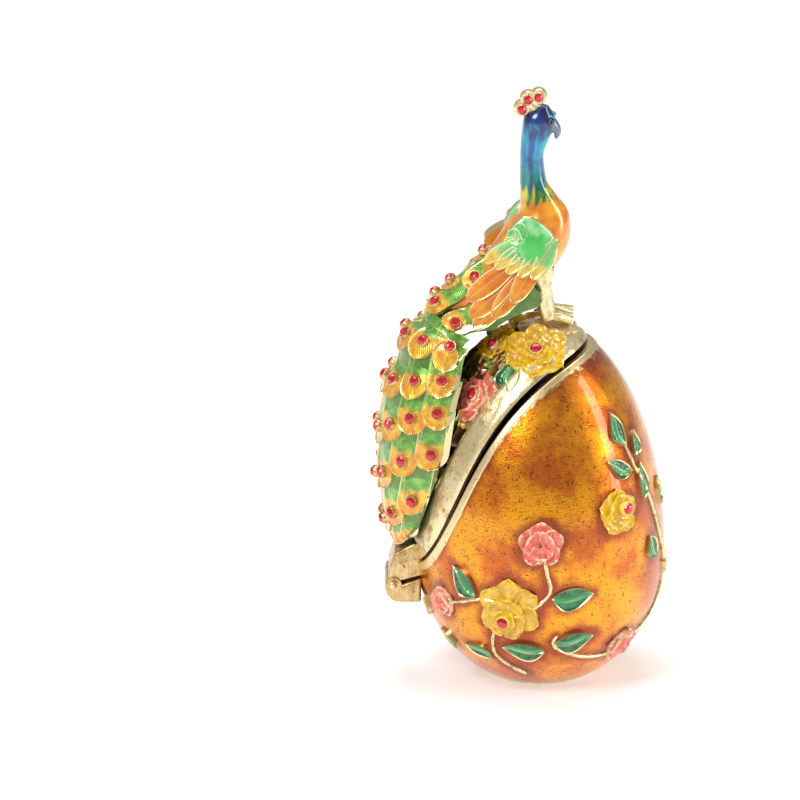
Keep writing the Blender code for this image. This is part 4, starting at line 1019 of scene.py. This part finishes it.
def trainDrape(place, angle, beyond, length):
    # lays a feather on the train: x runs down it, ending that far beyond the place
    steps = drapeSet["steps"]
    places = [place]
    step = length / steps
    for _ in range(steps):
        places.append(places[-1] - step / trainSpeed(places[-1], angle))
    speed = trainSpeed(place, angle)
    squeeze = min(1.0, drapeSet["squeeze"] / (place - places[-1]))

    def drape(x, y, z):
        run = x - (length - beyond)
        if run >= 0:
            here = place + run / speed
        else:
            count = min(-run / step, steps - 0.001)
            low = int(count)
            here = places[low] + (places[low + 1] - places[low]) * (count - low)
            here = place + (here - place) * squeeze
        here = min(max(here, drapeSet["start"]), len(trainStations) - drapeSet["end"])
        pitch = (trainPoint(here, angle + 2) - trainPoint(here, angle - 2)).length / 4
        around = max(-drapeSet["turn"], min(drapeSet["turn"], angle + y / pitch))
        return trainFrame(here, around) @ Vector((0, 0, z))
    return drape


def makeMantle():
    bm = newForm()
    last = len(trainStations) - 1
    verts = bmesh.ops.create_grid(bm, x_segments=mantle["rows"], y_segments=mantle["columns"],
                                  size=1)["verts"]
    tags = {vert: ((vert.co.x + 1) / 2 * last, vert.co.y * 90) for vert in verts}
    for vert, (place, angle) in tags.items():
        away = ease(place, mantle["from"], mantle["to"])
        vert.co = trainPoint(place, angle, mantle["inset"] - mantle["inset"] * away)
    wall = bmesh.ops.extrude_face_region(bm, geom=bm.faces[:], use_keep_orig=True)["geom"]
    tree = treeOf([vert.co for vert in verts])
    for vert in wall:
        if isinstance(vert, bmesh.types.BMVert):
            place, angle = tags[verts[tree.find(vert.co)[1]]]
            away = ease(place, mantle["from"], mantle["to"])
            vert.co = trainPoint(place, angle, mantle["insideNear"] - mantle["insideFar"] * away)
    finishPiece("train_mantle", bm, [mantleGreen], onBird)


def addPlume(bm, grid, shape, drape):
    layer = bm.verts.layers.float["place"]
    for vert in addSheet(bm, *grid, shape, Matrix(), feather["sink"]):
        vert[layer] = vert.co.x * barbs["along"] - abs(vert.co.y) * barbs["across"]
        vert.co = drape(*vert.co)


def makeTrain():
    makeMantle()
    plumes, bezels = newForm(), newForm()
    for i, (place, angle, seat, size) in enumerate(trainFeathers()):
        length = min(feather["plumeLength"] * size, nearBird["shortest"] + place * nearBird["growth"])
        width = feather["plumeWidth"] * size * (nearBird["firstWidth"] if place < 1 else 1.0)
        beyond = feather["length"] * (1 - feather["seatAlong"]) * size
        shape = plumeShape(length, width, feather["plumeThickness"])
        addPlume(plumes, (30, 14), shape, trainDrape(place, angle, beyond, length))
        addBezel(bezels, seat, feather["stone"], feather["settingFoot"])
        stonePiece("crystal_train_%02d" % (i + 1), seat, feather["stone"], "lid")
    for angle in lastRow["angles"]:
        place = lastRow["place"] - lastRow["bend"] * sin(radians(angle)) ** 2
        length = feather["plumeLength"] * lastRow["length"]
        shape = plumeShape(length, feather["plumeWidth"] * lastRow["width"], lastRow["thickness"])
        addPlume(plumes, (24, 12), shape, trainDrape(place, angle, lastRow["beyond"], length))
    finishPiece("train_feathers", plumes, [trainEnamel], onBird)
    finishPiece("train_settings", bezels, [darkGold], onBird)
    print("train ready")


# Body sections in hundredths of the bird's height: x, height, half depth, half width
bird = {"height": 53.4, "rows": 100, "sides": 40}
bodyStations = [
    (0.6, 92.8, 2.7, 2.7), (-0.2, 87.7, 6.6, 5.6), (-2.1, 80.8, 6.1, 5.6), (-3.7, 72.8, 5.0, 5.0),
    (-3.6, 65.2, 5.2, 5.2), (-2.9, 58.2, 6.0, 6.0), (-1.0, 51.4, 8.2, 7.6), (0.4, 44.6, 11.8, 10.4),
    (-1.8, 36.6, 13.6, 12.6), (-8.4, 27.0, 13.0, 12.2), (-17.6, 17.8, 11.4, 11.0),
    (-29.0, 10.4, 9.6, 9.6), (-38.0, 4.2, 6.4, 8.0)]
unit = bird["height"] / 100


def perchPoint(x, height, y=0.0):
    return Vector((x * unit, y * unit, eggHeight + egg["touchGap"] + height * unit))


def makeBody():
    bm = newForm()
    last = len(bodyStations) - 1
    rows, sides = bird["rows"], bird["sides"]
    line = [bm.verts.new((1, 0, i / rows * last)) for i in range(rows + 1)]
    spinRound(bm, line, [bm.edges.new(pair) for pair in zip(line, line[1:])], sides)
    bmesh.ops.edgeloop_fill(bm, edges=[edge for edge in bm.edges if edge.is_boundary])
    layer = bm.verts.layers.float["place"]
    streak = bm.verts.layers.float["middle"]
    for vert in bm.verts:
        place, angle = vert.co.z, atan2(vert.co.y, vert.co.x)
        x, height, depth, half = smoothBetween(bodyStations, place)
        ahead = smoothBetween(bodyStations, min(place + 0.5, last))
        behind = smoothBetween(bodyStations, max(place - 0.5, 0))
        run = Vector((ahead[0] - behind[0], 0, ahead[1] - behind[1])).normalized()
        across = Vector((-run.z, 0, run.x))
        vert[layer] = place
        # the dark streak down the middle of each side of the neck
        vert[streak] = abs(cos(angle) + 0.15) if 1.5 < place < 5 else 1.0
        vert.co = perchPoint(x, height) + across * depth * unit * cos(angle) \
            + Vector((0, half * unit * sin(angle), 0))
    finishPiece("peacock_body", bm, [birdEnamel], onBird)


def sideFrame(side, x, height, y, heading, splay):
    turn = radians(heading)
    along = Vector((-cos(turn), -side * splay, -sin(turn)))
    return frameFrom(perchPoint(x, height, -side * y), Vector((-splay, -side, 0.12)), along)


shoulder = {"x": -4.6, "height": 35.6, "side": 12.4, "depth": 11.4, "bulge": 4.8, "half": 13.6, "lean": -10}
# Rows of quills on the flank: where each one ends, its heading and the row's size
quillRows = {
    "wing_quills": {"tips": [(-23.7, 30.3), (-19.2, 27.6), (-14.4, 25.4), (-9.2, 23.8), (-3.7, 22.8)],
                    "headings": (30, 36, 43, 51, 60), "side": 15.2, "length": 19, "width": 6.4, "rise": 1.4,
                    "sink": 5.0, "splay": 0.06, "curl": 30},
    "flank_quills": {"tips": [(-30.8, 13.6), (-29.6, 6.0), (-28.0, 1.0), (-20.0, 5.8), (-12.0, 12.4)],
                     "headings": (38, 42, 47, 53, 60), "side": 14.4, "length": 27, "width": 8.6, "rise": 1.4,
                     "sink": 8.0, "splay": 0.08, "curl": 30}}


# The wing's small feathers: where they sit on the shoulder's unit ball, their tilt and size
smallFeathers = {"count": 7, "first": 112, "apart": 24, "out": 0.42, "proud": 0.86, "tilt": 0.72,
                 "face": 0.62, "length": 3.6, "width": 3.4, "thickness": 0.35, "curl": 9, "sink": 0.8}


def makeWings():
    shoulders = newForm()
    rimLayer = shoulders.verts.layers.float["rim"]
    middleLayer = shoulders.verts.layers.float["middle"]
    size = Vector([shoulder[word] * unit for word in ("depth", "bulge", "half")])
    lean = Matrix.Rotation(radians(shoulder["lean"]), 4, "Y")
    small = smallFeathers
    for side in (1, -1):
        verts = bmesh.ops.create_uvsphere(shoulders, u_segments=48, v_segments=30, radius=1)["verts"]
        for vert in verts:
            outward = max(0.0, -vert.co.y * side)
            vert[rimLayer] = abs(vert.co.y) * 1.5 - 0.30
            vert[middleLayer] = hypot(vert.co.x - 0.2, vert.co.z + 0.05)
            vert.co.x *= 1 - 0.30 * max(0.0, vert.co.z) ** 1.5
            vert.co.y *= 1 - 0.10 * ease(outward, 0.34, 0.52)
        place = Matrix.Translation(perchPoint(shoulder["x"], shoulder["height"], -side * shoulder["side"]))
        ball = place @ lean @ Matrix.Diagonal((*size, 1))
        bmesh.ops.transform(shoulders, matrix=ball, verts=verts)
        for i in range(small["count"]):  # round the front and lower edge of the wing
            turn = radians(small["first"] + small["apart"] * i)
            flat = Vector((cos(turn), 0, sin(turn)))
            spot = flat * small["out"] - Vector((0, side * small["proud"], 0))
            normal = Vector((flat.x * small["tilt"] / size.x, -side * small["face"] / size.y,
                             flat.z * small["tilt"] / size.z))
            along = Vector((flat.x * size.x, 0, flat.z * size.z))
            turned = lean.to_3x3()
            seat = frameFrom(ball @ spot, turned @ normal, turned @ along)
            shape = featherShape(small["length"], small["width"], small["thickness"], small["curl"])
            addSheet(shoulders, 14, 10, shape, seat, small["sink"])
    finishPiece("wing_shoulders", shoulders, [wingEnamel], onBird)
    for name, row in quillRows.items():
        bm = newForm()
        length = row["length"]
        shape = featherShape(length * unit, row["width"] * unit, row["rise"] * unit, row["curl"])
        for side in (1, -1):
            for (x, height), heading in zip(row["tips"], row["headings"]):
                x += length * cos(radians(heading))
                height += length * sin(radians(heading))
                seat = sideFrame(side, x, height, row["side"], heading, row["splay"])
                addSheet(bm, 24, 12, shape, seat, row["sink"] * unit)
        finishPiece(name, bm, [yellowQuill if name == "wing_quills" else orangeQuill], onBird)
    print("wings ready")


# Legs and toes: their lines as x and height, and how far each front toe turns out sideways
leg = {"side": 2.5, "line": [(1.2, 25), (0.6, 17), (1.6, 9), (3.4, 2.2)], "thick": 2.4, "thinner": 0.5,
       "rough": 0.14, "grain": 0.8}
toes = {"line": [(2.6, 3.6), (8.0, 3.0), (13.2, 1.8)], "spreads": (-3.4, 0.4, 4.2), "thick": 1.15,
        "thinner": 0.35}
backToe = {"line": [(4.0, 3.4), (0.6, 3.0), (-2.6, 2.0)], "thick": 0.9, "thinner": 0.4}


def limbLine(places, steps):
    return [perchPoint(a, b, c) for a, b, c in smoothPath(places, steps)]


def makeLegs():
    bm = newForm()
    for side in (1, -1):
        y = side * leg["side"] / unit
        radii = []
        for i in range(25):
            rough = leg["rough"] * noise.noise(Vector((i * leg["grain"], side, 0)))
            radii.append(leg["thick"] - leg["thinner"] * ease(i, 0, 14) + rough)
        addCurve(bm, limbLine([(x, height, y) for x, height in leg["line"]], 24), radii, 5)
        for spread in toes["spreads"]:
            toe = [(x, height, y + spread * k / 2) for k, (x, height) in enumerate(toes["line"])]
            addCurve(bm, limbLine(toe, 12), [toes["thick"] - toes["thinner"] * i / 12 for i in range(13)], 3)
        back = [(x, height, y) for x, height in backToe["line"]]
        addCurve(bm, limbLine(back, 8), [backToe["thick"] - backToe["thinner"] * i / 8 for i in range(9)], 3)
    finishPiece("peacock_legs", bm, [gold], onBird)


crestLobes = [(-8.0, 91.9), (-5.4, 96.1), (-1.0, 97.2)]
crest = {"thickness": 2.6, "lobe": 1.6, "stone": 1.1}
# The beak's line as x, height and radius, and the eye with the ridge above it
beakLine = [(1.6, 86.0, 2.3), (4.6, 84.0, 1.75), (6.5, 81.6, 1.05), (6.2, 78.6, 0.35)]
eye = {"x": 3.9, "height": 86.8, "side": 4.3, "radius": 0.85, "browX": 1.3, "browZ": 1.2, "browY": 0.3,
       "browThick": 0.16}


def makeHead():
    beak = newForm()
    path = smoothPath(beakLine, 18)
    addCurve(beak, [perchPoint(a, b) for a, b, _ in path], [radius for _, _, radius in path], 5)
    finishPiece("peacock_beak", beak, [beakTone], onBird)
    eyes, ridges = newForm(), newForm()
    for side in (1, -1):
        spot = perchPoint(eye["x"], eye["height"], -side * eye["side"])
        made = bmesh.ops.create_uvsphere(eyes, u_segments=20, v_segments=12, radius=eye["radius"])["verts"]
        bmesh.ops.transform(eyes, matrix=Matrix.Translation(spot), verts=made)
        arc = []
        for turn in [radians(t) for t in range(20, 161, 20)]:
            out = Vector((cos(turn) * eye["browX"], eye["browY"] * side, sin(turn) * eye["browZ"]))
            arc.append(spot + out)
        addCurve(ridges, arc, [eye["browThick"] * (1 + sin(pi * i / 7)) for i in range(8)], 3)
    finishPiece("peacock_eyes", eyes, [eyeBlack], onBird)
    finishPiece("peacock_brows", ridges, [browBlue], onBird)
    comb = newForm()
    root = perchPoint(-3.6, 91.5)
    for i, (x, height) in enumerate(crestLobes):
        middle = perchPoint(x, height)
        seat = frameFrom(middle, Vector((0, -1, 0)), Vector((0, 0, 1)))
        thick = crest["thickness"] / 2 + 0.01 * i
        disc = [(0, -thick), (crest["lobe"], -thick), (crest["lobe"] + 0.25, -thick * 0.5),
                (crest["lobe"] + 0.25, thick * 0.6), (crest["lobe"], thick), (0, thick)]
        addTurned(comb, disc, 28, seat)
        front = seat @ Matrix.Translation((0, 0, crest["thickness"] / 2))
        addBezel(comb, front, crest["stone"] - 0.08, -0.5)
        stonePiece("crystal_crest_%d" % (i + 1), front, crest["stone"] - 0.04, "lid")
        bar = [root + (middle - root) * t for t in (0, 0.25, 0.5, 0.75, 0.95)]
        addCurve(comb, bar, [1.15, 1.25, 1.3, 1.3, 1.2], 4)
    web = [perchPoint(x * 0.72 - 0.9, 91.8 + (height - 91.8) * 0.62) for x, height in crestLobes]
    addCurve(comb, smoothPath(web, 8), [1.35] * 9, 4)
    stem = [perchPoint(0.4, 89), perchPoint(-3.0, 92.4), perchPoint(-4.4, 94.0)]
    addCurve(comb, stem, [1.5, 1.4, 1.4], 4)
    finishPiece("peacock_crest", comb, [gold], onBird)
    print("head ready")


photo = {"elevation": 18.0, "scale": 0.222, "footPixel": (540, 668), "size": 800, "lens": 1000.0,
         "sensor": 36.0}


def placeCamera():
    tilt = radians(photo["elevation"])
    upward = Vector((0, sin(tilt), cos(tilt)))
    forward = Vector((0, cos(tilt), -sin(tilt)))
    half = photo["size"] / 2
    aim = Vector(((half - photo["footPixel"][0]) * photo["scale"], 0, 0))
    aim += upward * (photo["footPixel"][1] - half) * photo["scale"]
    distance = photo["size"] * photo["scale"] * photo["lens"] / photo["sensor"]
    lens = bpy.data.cameras.new("studioCamera")
    lens.lens = photo["lens"]
    lens.sensor_width = photo["sensor"]
    lens.clip_start = 0.05
    lens.clip_end = 30
    camera = bpy.data.objects.new("studioCamera", lens)
    camera.location = (aim - forward * distance) * mm
    camera.rotation_euler = (pi / 2 - tilt, 0, 0)
    scene.collection.objects.link(camera)
    scene.camera = camera


def addSoftbox(name, place, target, width, height, power):
    light = bpy.data.lights.new(name, "AREA")
    light.shape = "RECTANGLE"
    light.size, light.size_y = width, height
    light.energy = power
    holder = bpy.data.objects.new(name, light)
    holder.location = place
    holder.rotation_euler = (Vector(target) - Vector(place)).to_track_quat("-Z", "Y").to_euler()
    scene.collection.objects.link(holder)


# The studio: floor and its own light, world light, and soft boxes with place, aim, size and power
studio = {"floor": 4.0, "grey": 0.82, "glow": 0.36, "world": 0.42}
softboxes = {"keyBox": ((-0.5, -0.6, 0.75), (0, 0, 0.06), 0.4, 0.4, 5.5),
             "rightBox": ((0.75, -0.15, 0.35), (0, 0, 0.05), 0.16, 0.7, 2.6),
             "topBox": ((0.0, 0.2, 0.9), (0, 0, 0.05), 0.5, 0.5, 4.0)}


def makeStudio():
    bm = bmesh.new()
    bmesh.ops.create_grid(bm, x_segments=1, y_segments=1, size=studio["floor"])
    mesh = bpy.data.meshes.new("studio_floor")
    bm.to_mesh(mesh)
    bm.free()
    floor = bpy.data.objects.new("studio_floor", mesh)
    scene.collection.objects.link(floor)
    grey = studio["grey"]
    paper = {"Base Color": (grey, grey, grey, 1), "Roughness": 0.5, "Emission Color": (1, 1, 1, 1),
             "Emission Strength": studio["glow"]}
    mesh.materials.append(Paint("floorPaper").finish(paper))
    world = bpy.data.worlds.new("studioWorld")
    scene.world = world
    world.use_nodes = True
    world.node_tree.nodes["Background"].inputs["Color"].default_value = (1, 1, 1, 1)
    world.node_tree.nodes["Background"].inputs["Strength"].default_value = studio["world"]
    for name, values in softboxes.items():
        addSoftbox(name, *values)
    scene.view_settings.view_transform = "Standard"
    print("studio ready")


placeCamera()
makeStudio()
makeBaseRelief()
makeBaseShell()
makeHinge()
makeLid()
makeTrain()
makeBody()
makeWings()
makeLegs()
makeHead()
